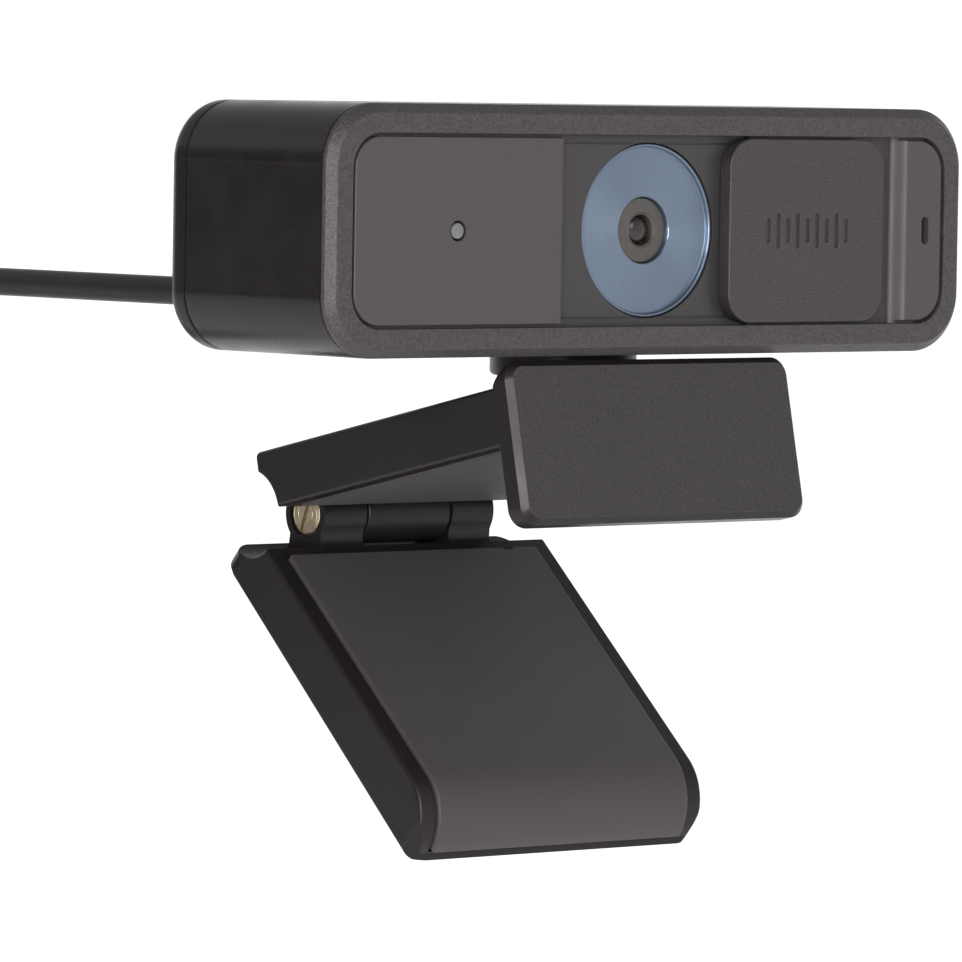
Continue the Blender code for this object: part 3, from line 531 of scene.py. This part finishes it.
CABLE_D, CABLE_X, CABLE_Z = 3.2, -36.0, -7.8
COIL_Y, COIL_Z = 103.25, -51.8
COIL_X = (-31.2, -34.4, -37.6, -40.8)
COIL_R = (20.8, 17.6, 14.4)
CABLE_ROUTE = [
    *[(CABLE_X, y, CABLE_Z) for y in (39.6, 46.0, 54.0, 62.0, 71.0)],
    (-35.9, 77.5, -7.9),
    (-35.8, 82.4, -8.7),
    (-35.5, 87.8, -11.4),
    (-34.9, 91.8, -16.2),
    (-34.2, 93.3, -19.6),
    (-33.6, 94.1, -23.1),
    (-32.9, 95.1, -26.2),
    (-32.3, 97.1, -28.8),
    (-31.6, 99.8, -30.5),
]
TAIL_ROUTE = [
    (-42.4, 116.6, -46.6),
    (-44.7, 117.6, -50.2),
    (-46.3, 118.0, -53.5),
    (-47.3, 118.2, -57.5),
    (-47.5, 118.2, -61.4),
]


def eased(t):
    t = min(1.0, max(0.0, t))
    return t * t * (3 - 2 * t)


def coil_points(steps=30):
    """Three layers of four turns, each turn stepping one diameter sideways near its end."""
    columns = [*COIL_X, *COIL_X[::-1], *COIL_X]
    radii = [r for r in COIL_R for _ in COIL_X]
    columns.append(columns[-1])
    radii.append(radii[-1])
    points = []
    total = 12 * steps + round(steps * 55 / 360)
    for i in range(total + 1):
        turn, share = divmod(i / steps, 1.0)
        turn = int(turn)
        after = min(turn + 1, len(columns) - 1)
        blend = eased((share - 0.8) / 0.2)
        x = columns[turn] + (columns[after] - columns[turn]) * blend
        radius = radii[turn] + (radii[after] - radii[turn]) * blend
        angle = math.radians(90 - 360 * i / steps)
        points.append((x, COIL_Y + radius * math.cos(angle), COIL_Z + radius * math.sin(angle)))
    return points


def smooth_line(points, samples):
    """Points along a Catmull-Rom curve through the given ones."""
    points = [Vector(p) for p in points]
    ends = [2 * points[0] - points[1], *points, 2 * points[-1] - points[-2]]
    line = []
    for a, b, c, d in zip(ends, ends[1:], ends[2:], ends[3:]):
        for i in range(samples):
            t = i / samples
            bend = (2 * a - 5 * b + 4 * c - d) * t**2 + (3 * b - a - 3 * c + d) * t**3
            line.append(0.5 * (2 * b + (c - a) * t + bend))
    return [*line, points[-1]]


def make_cable():
    line = smooth_line([*CABLE_ROUTE, *coil_points(), *TAIL_ROUTE], 3)
    route = [HOUSING @ (point * MM) for point in line]
    curve = bpy.data.curves.new("usb_cable_line", "CURVE")
    curve.dimensions = "3D"
    curve.bevel_depth = CABLE_D / 2 * MM
    curve.bevel_resolution = 4
    curve.use_fill_caps = True
    spline = curve.splines.new("POLY")
    spline.points.add(len(route) - 1)
    for point, place in zip(spline.points, route):
        point.co = (*place, 1)
    spline.use_smooth = True
    curve.materials.append(JACKET)
    cable = bpy.data.objects.new("cable", curve)
    bpy.context.scene.collection.objects.link(cable)
    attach(cable, "camera")
    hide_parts("usb_cable", "cable_coil", "usb_tail")
    return cable


TIE_ANGLE, TIE_R = 60.0, 17.6


def make_tie():
    """Strap round the coil's section: one rounded band, its outer edges eased."""
    angle = math.radians(TIE_ANGLE)
    y, z = COIL_Y + TIE_R * math.cos(angle), COIL_Z + TIE_R * math.sin(angle)
    centre = Matrix.Translation(Vector((CABLE_X, y, z)) * MM)
    spot = HOUSING @ centre @ Matrix.Rotation(angle, 4, "X")
    stations = [(0.35, -2.5), (0, -2.2), (0, 2.2), (0.35, 2.5)]
    outer = [
        lift(rounded_rect(15.1 - 2 * d, 12.1 - 2 * d, 2.4, 6), "Z", z) for d, z in stations
    ]
    inner = [lift(rounded_rect(13.5, 10.5, 1.8, 6), "Z", z) for z in (2.5, -2.5)]
    band = loft([*outer, *inner], ring=True)
    return piece("tie", band, spot, STRAP, "camera", ["cable_tie"])


PLUG_X, PLUG_Y = -47.5, 118.2


def make_plug():
    at = (PLUG_X, PLUG_Y)
    body = slab(8.0, 15.6, 1.6, -94, -70, "Z", at, 0.9, 1.2, 6)
    neck_profile = [(0, -72), (3.4, -72), (3.3, -69.5)]
    for i in range(4):
        low = -69.0 + 1.8 * i
        wide = 3.15 - 0.22 * i
        neck_profile += [
            (wide - 0.35, low),
            (wide - 0.35, low + 0.4),
            (wide, low + 0.6),
            (wide - 0.05, low + 1.5),
        ]
    neck_profile += [(2.2, -61.9), (1.75, -61.75), (0, -61.75)]
    neck = turned(neck_profile, "Z", at, 40)
    grips = [
        slab(0.8, 10.5, 0.35, z - 0.45, z + 0.45, "Z", (PLUG_X + side * 4.1, PLUG_Y), 0, 0, 4)
        for side in (-1, 1)
        for z in (-87, -84.5, -82, -79.5)
    ]
    mesh = carve(body, [neck], grips)
    plug = piece("plug", mesh, HOUSING, JACKET, "camera", ["usb_plug_body"], edge=0.15)

    outer = slab(4.5, 12.0, 0.5, -106.3, -94.3, "Z", at, 0.15, 0, 5)
    inside = slab(3.8, 11.3, 0.3, -108, -94.8, "Z", at, 0, 0, 5)
    windows = [
        slab(2.0, 2.2, 0.2, -103.0, -100.8, "Z", (PLUG_X + side * 2.2, PLUG_Y + y), 0, 0, 3)
        for side in (-1, 1)
        for y in (-2.9, 2.9)
    ]
    shell = carve(outer, [], [inside, *windows])
    shell = piece("plug_shell", shell, HOUSING, STEEL, "camera", ["usb_plug_shell"])
    block = slab(1.6, 10.9, 0.2, -105.9, -95.0, "Z", (PLUG_X - 0.9, PLUG_Y), 0.2, 0, 3)
    pads = [
        slab(0.16, 1.1, 0.05, -104.9, -97.0, "Z", (PLUG_X - 0.1, PLUG_Y + y), 0, 0, 2)
        for y in (-3.5, -1.15, 1.15, 3.5)
    ]
    tongue = piece("plug_tongue", block, HOUSING, WHITE, "camera", ["usb_plug_tongue"])
    contacts = []
    for number, pad in enumerate(pads, 1):
        contact = piece(f"plug_contact_{number}", pad, HOUSING, BRASS, "camera")
        contacts.append(contact)
    return [plug, shell, tongue, *contacts]


def make_relief():
    """Strain relief: a tapered sleeve with flex rings cut round it."""
    profile = [(0, 23.3), (2.8, 23.3), (2.8, 24.9), (2.35, 24.9), (2.35, 29.0)]
    for i in range(5):
        start = 29.3 + 1.87 * i
        wide = 2.4 - 0.085 * i
        profile += [
            (wide, start),
            (wide - 0.03, start + 1.1),
            (wide - 0.42, start + 1.2),
            (wide - 0.42, start + 1.75),
        ]
    profile += [(1.95, 38.7), (1.9, 39.1), (1.75, 39.25), (0, 39.25)]
    mesh = turned(profile, "Y", (CABLE_X, CABLE_Z), 40)
    piece("relief", mesh, HOUSING, JACKET, "camera", ["strain_relief"])


cable = make_cable()
tie = make_tie()
plug = make_plug()
make_relief()


# Housing ------------------------------------------------------------------------------------

CAM_W, CAM_H, CAM_D, CAM_R, WALL = 95.0, 27.9, 28.9, 6.8, 1.8
REAR_SEAM = 25.25
FRAME_BEVEL, REAR_BEVEL = 1.0, 2.2
WINDOW = (88.6, 21.4, 3.9)
SPIGOT = (91.1, 24.0, 4.9)
DISC_Y, DISC_SEAT_R, POST_BORE_R = 15.8, 8.6, 3.7
FINE = 20


def ring_loops(width, height, radius, stations):
    """Rounded-rectangle loops along y, each inset from the full outline."""
    return [
        lift(
            rounded_rect(width - 2 * d, height - 2 * d, max(radius - d, 0.05), FINE), "Y", y
        )
        for d, y in stations
    ]


def chamfer(size, ease, count=3):
    """(inset, depth) steps of a flat chamfer whose two edges are eased, from the face outwards."""
    steps = []
    for i in range(count + 1):
        t = math.radians(45 * i / count)
        steps.append((size + ease * (0.414 - math.sin(t)), ease * (1 - math.cos(t))))
    return steps + [(depth, inset) for inset, depth in steps[::-1]]


def make_front_frame():
    outer = [(0, 1.45)] + chamfer(FRAME_BEVEL, 0.35)[::-1]
    loops = ring_loops(CAM_W, CAM_H, CAM_R, outer + [(2.6, 0.0)])
    edge = [(-0.12, 0.0), (-0.035, 0.035), (0, 0.12), (0, 1.05)]
    loops += ring_loops(*WINDOW, edge)
    loops += ring_loops(89.9, 23.0, 4.5, [(0, 1.05), (0, 4.0)])
    loops += ring_loops(*SPIGOT, [(0, 4.0), (0, 1.6)])
    mesh = loft(loops, ring=True)
    piece("frame_rim", mesh, HOUSING, RIM, "camera", ["front_frame"])


def flanked(width, height, radius, sink):
    """Rounded rectangle whose two short sides are sunk a little between their corners."""
    points = []
    for x, z in rounded_rect(width, height, radius, FINE):
        points.append((x, z))
    half, straight = width / 2, height / 2 - radius
    right = [(half - sink, -straight + 0.1), (half - sink, straight - 0.1)]
    left = [(sink - half, straight - 0.1), (sink - half, -straight + 0.1)]
    corner = FINE + 1
    return [*points[: 2 * corner], *left, *points[2 * corner :], *right]


def make_shell():
    stations = [(0.25, 1.6), (0.07, 1.67), (0, 1.85), (0, 25.0), (0.07, 25.18), (0.25, REAR_SEAM)]
    loops = [
        lift(flanked(CAM_W - 2 * d, CAM_H - 2 * d, CAM_R - d, 0.05), "Y", y) for d, y in stations
    ]
    inner = flanked(CAM_W - 2 * WALL, CAM_H - 2 * WALL, CAM_R - WALL, 0.0)
    loops += [lift(inner, "Y", y) for y in (REAR_SEAM, 1.6)]
    shell = loft(loops, ring=True)
    bottom = -CAM_H / 2
    at = (0, DISC_Y)
    seat = rod(DISC_SEAT_R, bottom - 1, bottom + 0.5, "Z", at, 0, 96)
    bore = rod(POST_BORE_R, bottom - 1, bottom + 4, "Z", at, 0, 48)
    mesh = carve(shell, [], [seat, bore])
    piece("shell", mesh, HOUSING, SHELL, "camera", ["main_shell"])


def make_rear():
    face = [(inset, CAM_D - depth) for inset, depth in quarter(REAR_BEVEL, 10)]
    start = REAR_SEAM + 0.15
    sides = [(0, start + 0.25), (0.07, start + 0.07), (0.25, start)]
    loops = ring_loops(CAM_W, CAM_H, CAM_R, face + sides)
    loops += ring_loops(*SPIGOT, [(0, start), (0, 23.4)])
    loops += ring_loops(88.7, 21.6, 3.8, [(0, 23.4), (0, start + 0.3)])
    cover = loft(loops)
    gland = rod(2.5, 23, 31, "Y", (CABLE_X, CABLE_Z), 0, 48)
    mesh = carve(cover, [], [gland])
    piece("rear", mesh, HOUSING, SHELL, "camera", ["rear_cover"])


make_front_frame()
make_shell()
make_rear()


# Front panel, shutter and lens ---------------------------------------------------------------


FLAT_Y, TRACK_Y, TRACK_LEFT = 0.1, 1.75, -12.8
RAMP_LEFT, RAMP_RIGHT = 37.1, 38.6
LIGHT_X, PORT_X = -29.25, 41.4
SHUTTER_X, SHUTTER_W, SHUTTER_H = 22.7, 23.8, 20.8
GRIP_PITCH, GRIP_W = 1.5, 0.62
RING_R, RING_HOLE_R, RING_LIP, RING_DEPTH = 9.7, 3.75, 1.95, 2.45
BARREL_R, BARREL_FRONT = 3.66, 2.9


def make_panel():
    """Panel with raised flats either side of a sunk track that the shutter slides along."""
    base = slab(89.5, 22.6, 4.3, 1.15, 3.8, "Y", count=FINE)
    flat = slab(87.85, 20.65, 3.55, FLAT_Y, 2.5, "Y", front=0.18, count=FINE)
    left = arc((-14.6, 1.3), 1.2, -90, -15, 10)
    ramp = []
    for step in range(17):
        share = step / 16
        rise = (1 - math.cos(math.pi * share)) / 2
        x = RAMP_LEFT + (RAMP_RIGHT - RAMP_LEFT) * share
        ramp.append((x, TRACK_Y + (FLAT_Y - TRACK_Y) * rise))
    section = [(-14.6, -2), *left, (TRACK_LEFT, TRACK_Y), *ramp, (RAMP_RIGHT, -2)]
    track = prism(section, -13, 13, "Z")
    rails = [
        slab(47.4, 0.22, 0.1, -1, TRACK_Y + 0.25, "Y", (11.0, side * 9.75), count=2)
        for side in (-1, 1)
    ]
    ring_seat = rod(RING_R + 0.15, -1, 3.35, "Y", (0, 0), 0, 128)
    lens_bore = rod(8.0, 2, 5, "Y", (0, 0), 0, 96)
    light = rod(1.15, -1, 5, "Y", (LIGHT_X, 0), 0, 40)
    slot = slab(1.1, 3.2, 0.54, -1, 5, "Y", (PORT_X, 0), count=8)
    mesh = carve(base, [flat], [track, *rails, ring_seat, lens_bore, light, slot])
    panel = piece("panel", mesh, HOUSING, PANEL, "camera", ["face_panel"], edge=0.08)
    panel.data.materials.append(TRACK)
    depth = HOUSING.translation.y + 0.4 * MM
    for polygon in panel.data.polygons:
        x, y = polygon.center.x / MM, polygon.center.y
        if -13.4 < x < 36.0 and y > depth:
            polygon.material_index = 1


def make_slider():
    place = HOUSING @ Matrix.Translation(Vector((SHUTTER_X, 0, 0)) * MM)
    body = slab(SHUTTER_W, SHUTTER_H, 3.3, -0.1, 1.6, "Y", front=0.2, count=16)
    runner = slab(16, 22.4, 0.3, 1.15, 1.58, "Y", count=3)
    grooves = [
        slab(GRIP_W, 4.0 if i % 2 else 2.8, 0.3, -1, 0.12, "Y", (GRIP_PITCH * i, 0), count=6)
        for i in range(-4, 5)
    ]
    mesh = carve(body, [runner], grooves)
    piece("slider", mesh, place, SLIDER, "shutter", ["shutter_cover"], edge=0.06)


def make_lens():
    ring = turned(
        [
            (RING_HOLE_R, 3.2),
            (RING_HOLE_R, RING_DEPTH + 0.08),
            (RING_HOLE_R + 0.08, RING_DEPTH),
            (RING_R - 0.45, RING_DEPTH),
            (RING_R - 0.37, RING_DEPTH - 0.05),
            (RING_R - 0.28, RING_LIP + 0.07),
            (RING_R - 0.2, RING_LIP),
            (RING_R - 0.06, RING_LIP),
            (RING_R, RING_LIP + 0.06),
            (RING_R, 3.2),
        ],
        "Y",
        (0, 0),
        128,
    )
    piece("blue_ring", ring, HOUSING, BLUE, "camera", ["lens_ring"])
    barrel = turned(
        [
            (3.45, 9.0),
            (3.45, 4.3),
            (BARREL_R, 4.3),
            (BARREL_R, BARREL_FRONT + 0.12),
            (BARREL_R - 0.1, BARREL_FRONT + 0.02),
            (2.06, BARREL_FRONT),
            (2.02, BARREL_FRONT + 0.06),
            (1.94, BARREL_FRONT + 0.06),
            (1.9, BARREL_FRONT),
            (1.8, 2.92),
            (1.66, 3.2),
            (1.62, 3.9),
            (1.62, 9.0),
        ],
        "Y",
        (0, 0),
        96,
    )
    piece("barrel", barrel, HOUSING, BARREL, "camera", ["lens_barrel"])
    lens_r, rim, bulge, back = 1.6, 3.95, 0.9, 4.65
    dome = [(0, rim - bulge)]
    for i in range(1, 11):
        t = math.radians(9 * i)
        dome.append((lens_r * math.sin(t), rim - bulge * math.cos(t)))
    lens = turned([*dome, (lens_r, back), (0, back)], "Y", (0, 0), 48)
    piece("front_lens", lens, HOUSING, LENS_GLASS, "camera", ["lens_front_element"])
    guide = rod(0.88, 0.15, 10.4, "Y", (LIGHT_X, 0), 0.12, 32)
    piece("indicator", guide, HOUSING, LIGHT_GUIDE, "camera", ["light_pipe"])


make_panel()
make_slider()
make_lens()


# Neck and clip arm ----------------------------------------------------------------------------

CLIP_W, PLATE_FRONT = 42.4, -22.5
KNUCKLE_R, KNUCKLE_HALF, HINGE_HALF, HINGE_GAP = 3.65, 6.15, 12.85, 0.3
ARM_SCOOP_R, LEG_SCOOP_R = 5.2, 4.8
EAR_R = 2.6


def make_neck():
    disc = rod(8.35, 11.55, 14.8, "Z", (0, 0), 0.55, 96, 5)
    post = rod(3.45, 14.3, 16.25, "Z", (0, 0), 0, 48)
    tab_outline = [*arc((0, TILT_Z), EAR_R, 180, 360, 24), (EAR_R, 13.4), (-EAR_R, 13.4)]
    tab = prism(tab_outline, -3.6, 3.6, "X", 0.3)
    pin = rod(1.08, -9, 9, "X", (0, TILT_Z), 0, 32)
    screw = rod(1.5, 10.4, 20, "Z", (0, 0), 0, 24)
    mesh = carve(disc, [tab, post], [pin, screw])
    piece("neck", mesh, PAN, CLIP_BLACK, "neck", ["swivel_neck"])
    pin = rod(1.0, -6.3, 6.3, "X", (0, TILT_Z), 0.2, 32)
    piece("pin", pin, PAN, STEEL, "clip", ["tilt_pin"])


def make_arm():
    half = CLIP_W / 2
    rise = math.sqrt(ARM_SCOOP_R**2 - 2.4**2)
    start = math.degrees(math.atan2(rise, -2.4))
    side = [
        (-21.0, 0.15),
        *arc((HINGE_Y, 0), ARM_SCOOP_R, 178.3, start, 14),
        *arc((22.5, 6.2), 0.7, 0, 90, 5),
        (-21.0, 6.9),
    ]
    arm = prism(side, -half, half, "X", 0.45, 4)
    stations = [(inset, PLATE_FRONT + depth) for inset, depth in chamfer(0.72, 0.08, 2)]
    stations += [(0, -19.75), (0.07, -19.57), (0.25, -19.5)]
    plate = loft(
        [
            lift(rounded_rect(CLIP_W - 2 * d, 18.5 - 2 * d, 2.2 - d, 14, (0, 0.25)), "Y", y)
            for d, y in stations
        ]
    )
    slope = [(-21.7, 9.62), (-19.2, 6.45), (-19.2, 12), (-21.7, 12)]
    plate = carve(plate, [], [prism(slope, -30, 30, "X")])
    web = prism(
        [(19.0, 0.25), (HINGE_Y, 0.25), (HINGE_Y, 3.55), (23.5, 5.2), (19.0, 5.2)],
        -6.1,
        6.1,
        "X",
    )
    knuckle = rod(KNUCKLE_R, -KNUCKLE_HALF, KNUCKLE_HALF, "X", (HINGE_Y, 0), 0.25, 72)
    tilt = CLIP.inverted() @ Vector((0, PAN_Y, TILT_Z))
    ears = []
    for low in (-6.0, 4.0):
        outline = [
            (tilt.y - EAR_R - 0.8, 6.4),
            (tilt.y + EAR_R + 0.8, 6.4),
            *arc((tilt.y, tilt.z), EAR_R, 0, 180, 24),
        ]
        ears.append(prism(outline, low, low + 2.0, "X", 0.3))
    cuts = [
        rod(1.7, -9, 9, "X", (HINGE_Y, 0), 0, 32),
        rod(EAR_R + 0.4, -3.9, 3.9, "X", (tilt.y, tilt.z), 0, 48),
        rod(1.08, -9, 9, "X", (tilt.y, tilt.z), 0, 32),
        slab(38.0, 38.8, 1.0, -1, 1.25, "Z", (0, 0.1), count=5),
        slab(38.0, 7.5, 0.8, -20.1, -18, "Y", (0, -4.35), count=5),
    ]
    mesh = carve(arm, [plate, web, knuckle, *ears], cuts)
    obj = piece("arm", mesh, CLIP, CLIP_BLACK, "clip", ["clip_arm"], sharp=28)
    obj.data.materials.append(LIP_GRAIN)
    normal = CLIP.to_3x3() @ Vector((0, -1, 0))
    inverse = CLIP.inverted()
    for polygon in obj.data.polygons:
        local = inverse @ polygon.center
        if local.y < (PLATE_FRONT + 0.3) * MM and polygon.normal.dot(normal) > 0.55:
            polygon.material_index = 1

    pad = slab(37.7, 38.5, 0.9, 0, 1.1, "Z", (0, 0.1), 0.25, 0, 6)
    piece("seat_pad", pad, CLIP, PAD, "clip", ["arm_pad"])
    pad = slab(37.7, 7.2, 0.7, -19.95, -19.3, "Y", (0, -4.35), 0, 0.2, 6)
    piece("hook_pad", pad, CLIP, PAD, "clip", ["lip_pad"])


make_neck()
make_arm()


# Clip leg ------------------------------------------------------------------------------------

LEG_FACE, LEG_ARC_AT, LEG_ARC_R = -0.6, 40.3, 6.5
LEG_TIP, LEG_CORNER_R, PAD_PROUD, PAD_HALF = 47.3, 2.6, 0.45, 18.8
INSERT_AT, INSERT_BACK = 24.0, -7.56
SLOT_TURN = -21.5


def mirrored(outline):
    """Leg outlines are written with the distance down the leg, which runs along -y."""
    return [(-s, h) for s, h in outline]


def pad_band(start, outer, inner, stop, count=20):
    """Section of the pad or its pocket: down the face and round the leg's end."""
    end = (LEG_ARC_AT, LEG_FACE - LEG_ARC_R)
    return [
        (start, end[1] + outer),
        *arc(end, outer, 90, stop, count),
        *arc(end, inner, stop, 90, count),
        (start, end[1] + inner),
    ]


def corner_cutter(side, tip, way):
    """What is cut off one corner of the leg, seen square to its face, to round it."""
    radius = LEG_CORNER_R
    x, s = CLIP_W / 2 - radius + 0.01, tip + way * (radius - 0.01)
    bend = arc((x, s), radius, 0, -90 * way, 12)
    outline = [*bend, (x, tip - 2 * way), (x + radius + 2, tip - 2 * way), (x + radius + 2, s)]
    return prism([(side * u, -v) for u, v in outline], -12, 3, "Z")


def make_leg():
    half = CLIP_W / 2
    end = (LEG_ARC_AT, LEG_FACE - LEG_ARC_R)
    scoop_to = math.degrees(math.asin(LEG_FACE / LEG_SCOOP_R))
    outline = [
        *arc((0, 0), LEG_SCOOP_R, -90, scoop_to, 18),
        *arc(end, LEG_ARC_R, 90, 2, 26),
        (LEG_TIP, -7.5),
        (46.6, -7.95),
        (2.6, -7.2),
        (0.9, -6.6),
        (0, -5.6),
    ]
    leg = prism(mirrored(outline), -half, half, "X", 0.45, 4)
    corners = [
        corner_cutter(side, tip, way) for side in (-1, 1) for tip, way in ((0, 1), (LEG_TIP, -1))
    ]
    leg = carve(leg, [], corners)
    knuckle_outline = [
        *arc((0, 0), KNUCKLE_R, 20, 262, 60),
        (0.4, -5.0),
        (3.2, -6.2),
        (6.5, -5.0),
        (6.5, -0.7),
        (4.9, -0.62),
        (4.2, -0.3),
        (3.7, 0.35),
    ]
    inner = KNUCKLE_HALF + HINGE_GAP
    joined = [
        prism(mirrored(knuckle_outline), low, high, "X", 0.2, 2)
        for low, high in ((-HINGE_HALF, -inner), (inner, HINGE_HALF))
    ]
    cuts = [
        rod(1.6, -14, 14, "X", (0, 0), 0, 32),
        rod(2.7, -14, -11.2, "X", (0, 0), 0, 48),
        rod(3.05, 10.4, 14, "X", (0, 0), 0, 6),
        prism(mirrored(pad_band(6.1, 7.5, 5.3, 4)), -PAD_HALF - 0.2, PAD_HALF + 0.2, "X"),
        rod(4.1, INSERT_BACK - 1, INSERT_BACK + 4.1, "Z", (0, -INSERT_AT), 0, 64),
    ]
    mesh = carve(leg, joined, cuts)
    piece("leg", mesh, LEG, CLIP_BLACK, "leg", ["clip_leg"], sharp=28)

    band = prism(
        mirrored(pad_band(6.3, LEG_ARC_R + PAD_PROUD, 5.45, 6)), -PAD_HALF, PAD_HALF, "X", 0.4, 4
    )
    notch = slab(1.6, 0.6, 0.2, -1.2, 1.0, "Z", (14.2, -6.3), count=3)
    pad = carve(band, [], [notch])
    piece("grip_pad", pad, LEG, PAD, "leg", ["leg_pad"])

    head = -12.75
    profile = [
        (0, head),
        (1.2, head),
        (1.22, head + 0.03),
        (1.3, head + 0.03),
        (1.32, head),
        (2.0, head),
        (2.02, head + 0.04),
        (2.12, head + 0.04),
        (2.14, head + 0.01),
        (2.4, head + 0.1),
        (2.55, head + 0.3),
        (2.55, head + 1.3),
        (1.4, head + 1.3),
        (1.4, head + 24.6),
        (0, head + 24.6),
    ]
    screw = turned(profile, "X", (0, 0), 64)
    groove = slab(0.62, 6.0, 0.1, head - 1, head + 0.6, "X", (0, 0), count=3)
    groove.transform(Matrix.Rotation(math.radians(SLOT_TURN), 4, "X"))
    screw = carve(screw, [], [groove])
    piece("screw", screw, LEG, BRASS, "leg", ["hinge_screw"], edge=0.05)
    nut = rod(2.85, 10.6, 12.7, "X", (0, 0), 0.25, 6)
    nut = carve(nut, [], [rod(1.55, 10, 14, "X", (0, 0), 0, 32)])
    piece("nut", nut, LEG, BRASS, "leg", ["hinge_nut"], edge=0.08)
    thread = [(0, INSERT_BACK + 3.2)]
    top = INSERT_BACK + 3.1
    while top > INSERT_BACK + 0.4:
        thread += [(2.75, top), (2.75, top - 0.12), (2.95, top - 0.24), (2.95, top - 0.36)]
        top -= 0.5
    insert = rod(4.0, INSERT_BACK - 0.1, INSERT_BACK + 3.95, "Z", (0, -INSERT_AT), 0.15, 64)
    bore = turned([*thread, (3.0, INSERT_BACK - 1), (0, INSERT_BACK - 1)], "Z", (0, -INSERT_AT), 48)
    piece("insert", carve(insert, [], [bore]), LEG, BRASS, "leg", ["tripod_insert"])


make_leg()


# Pieces kept from the frame -------------------------------------------------------------------

KEPT = {
    "lens_rear_element": LENS_GLASS,
    "lens_holder": DARK,
    "ir_filter": FILTER_GLASS,
    "image_sensor": LENS_GLASS,
    "main_board": BOARD,
    "usb_controller": DARK,
    "flash_memory": DARK,
    "status_led": WHITE,
    "microphone": STEEL,
    "mic_gasket": FOAM,
    "cable_header": NYLON,
    "inner_lead": JACKET,
    "board_screw_1": STEEL,
    "board_screw_2": STEEL,
    "board_screw_3": STEEL,
    "board_screw_4": STEEL,
    "pan_washer": STEEL,
    "pan_screw": STEEL,
}
for node, material in KEPT.items():
    NODES[node].data.materials.clear()
    NODES[node].data.materials.append(material)


# Stage and light ------------------------------------------------------------------------------


FLOOR_Z, FLOOR_R, FLOOR_GLOW = -0.14, 30, 0.57
HORIZON, OVERHEAD = 1.08, 0.45
AIM = (0, 0, 0.01)


def make_floor():
    bm = bmesh.new()
    bmesh.ops.create_circle(bm, cap_ends=True, segments=96, radius=FLOOR_R)
    mesh = bpy.data.meshes.new("floor")
    bm.to_mesh(mesh)
    bm.free()
    floor = bpy.data.objects.new("floor", mesh)
    floor.location.z = FLOOR_Z
    made = Paint("floor_white", (0.93, 0.93, 0.93), 0.9, specular=0.1)
    made.tint(made.noise(400.0), 0.01)
    made.shader.inputs["Emission Color"].default_value = (1, 1, 1, 1)
    made.shader.inputs["Emission Strength"].default_value = FLOOR_GLOW
    mesh.materials.append(made.done())
    bpy.context.scene.collection.objects.link(floor)


def area_light(name, place, aim, size, power):
    data = bpy.data.lights.new(name, "AREA")
    data.shape = "RECTANGLE"
    data.size, data.size_y = size
    data.energy = power
    light = bpy.data.objects.new(name, data)
    light.location = place
    light.rotation_mode = "QUATERNION"
    light.rotation_quaternion = (Vector(aim) - Vector(place)).to_track_quat("-Z", "Y")
    bpy.context.scene.collection.objects.link(light)


def flag(name, corners):
    """Black card beside the object, hidden from the camera, that keeps one side dark."""
    mesh = bpy.data.meshes.new(name)
    bm = bmesh.new()
    bm.faces.new([bm.verts.new(c) for c in corners])
    bm.to_mesh(mesh)
    bm.free()
    card = bpy.data.objects.new(name, mesh)
    made = Paint(name + "_black", (0.01, 0.01, 0.01), 0.9, specular=0.0)
    made.tint(made.noise(200.0), 0.1)
    mesh.materials.append(made.done())
    card.visible_camera = False
    card.visible_shadow = False
    bpy.context.scene.collection.objects.link(card)


def make_world():
    """Pale studio: bright round the horizon, dimmer overhead."""
    world = bpy.data.worlds.new("studio")
    world.use_nodes = True
    tree = world.node_tree
    direction = tree.nodes.new("ShaderNodeTexCoord").outputs["Generated"]
    apart = tree.nodes.new("ShaderNodeSeparateXYZ")
    tree.links.new(direction, apart.inputs[0])
    height = tree.nodes.new("ShaderNodeMapRange")
    height.interpolation_type = "SMOOTHSTEP"
    height.inputs["From Min"].default_value = 0.1
    height.inputs["From Max"].default_value = 0.7
    height.inputs["To Min"].default_value = HORIZON
    height.inputs["To Max"].default_value = OVERHEAD
    tree.links.new(apart.outputs["Z"], height.inputs["Value"])
    tree.links.new(height.outputs["Result"], tree.nodes["Background"].inputs["Strength"])
    tree.nodes["Background"].inputs["Color"].default_value = (1, 1, 1, 1)
    bpy.context.scene.world = world


make_floor()
make_world()
area_light("key", (-0.45, -1.6, 0.8), AIM, (1.0, 0.9), 9)
area_light("left_strip", (-1.0, -0.85, 0.1), AIM, (0.3, 0.8), 20)
flag(
    "left_flag",
    [(-1.45, -0.65, -0.1), (-0.6, 2.0, -0.1), (-0.6, 2.0, 0.42), (-1.45, -0.65, 0.42)],
)
bpy.context.scene.view_settings.view_transform = "Standard"
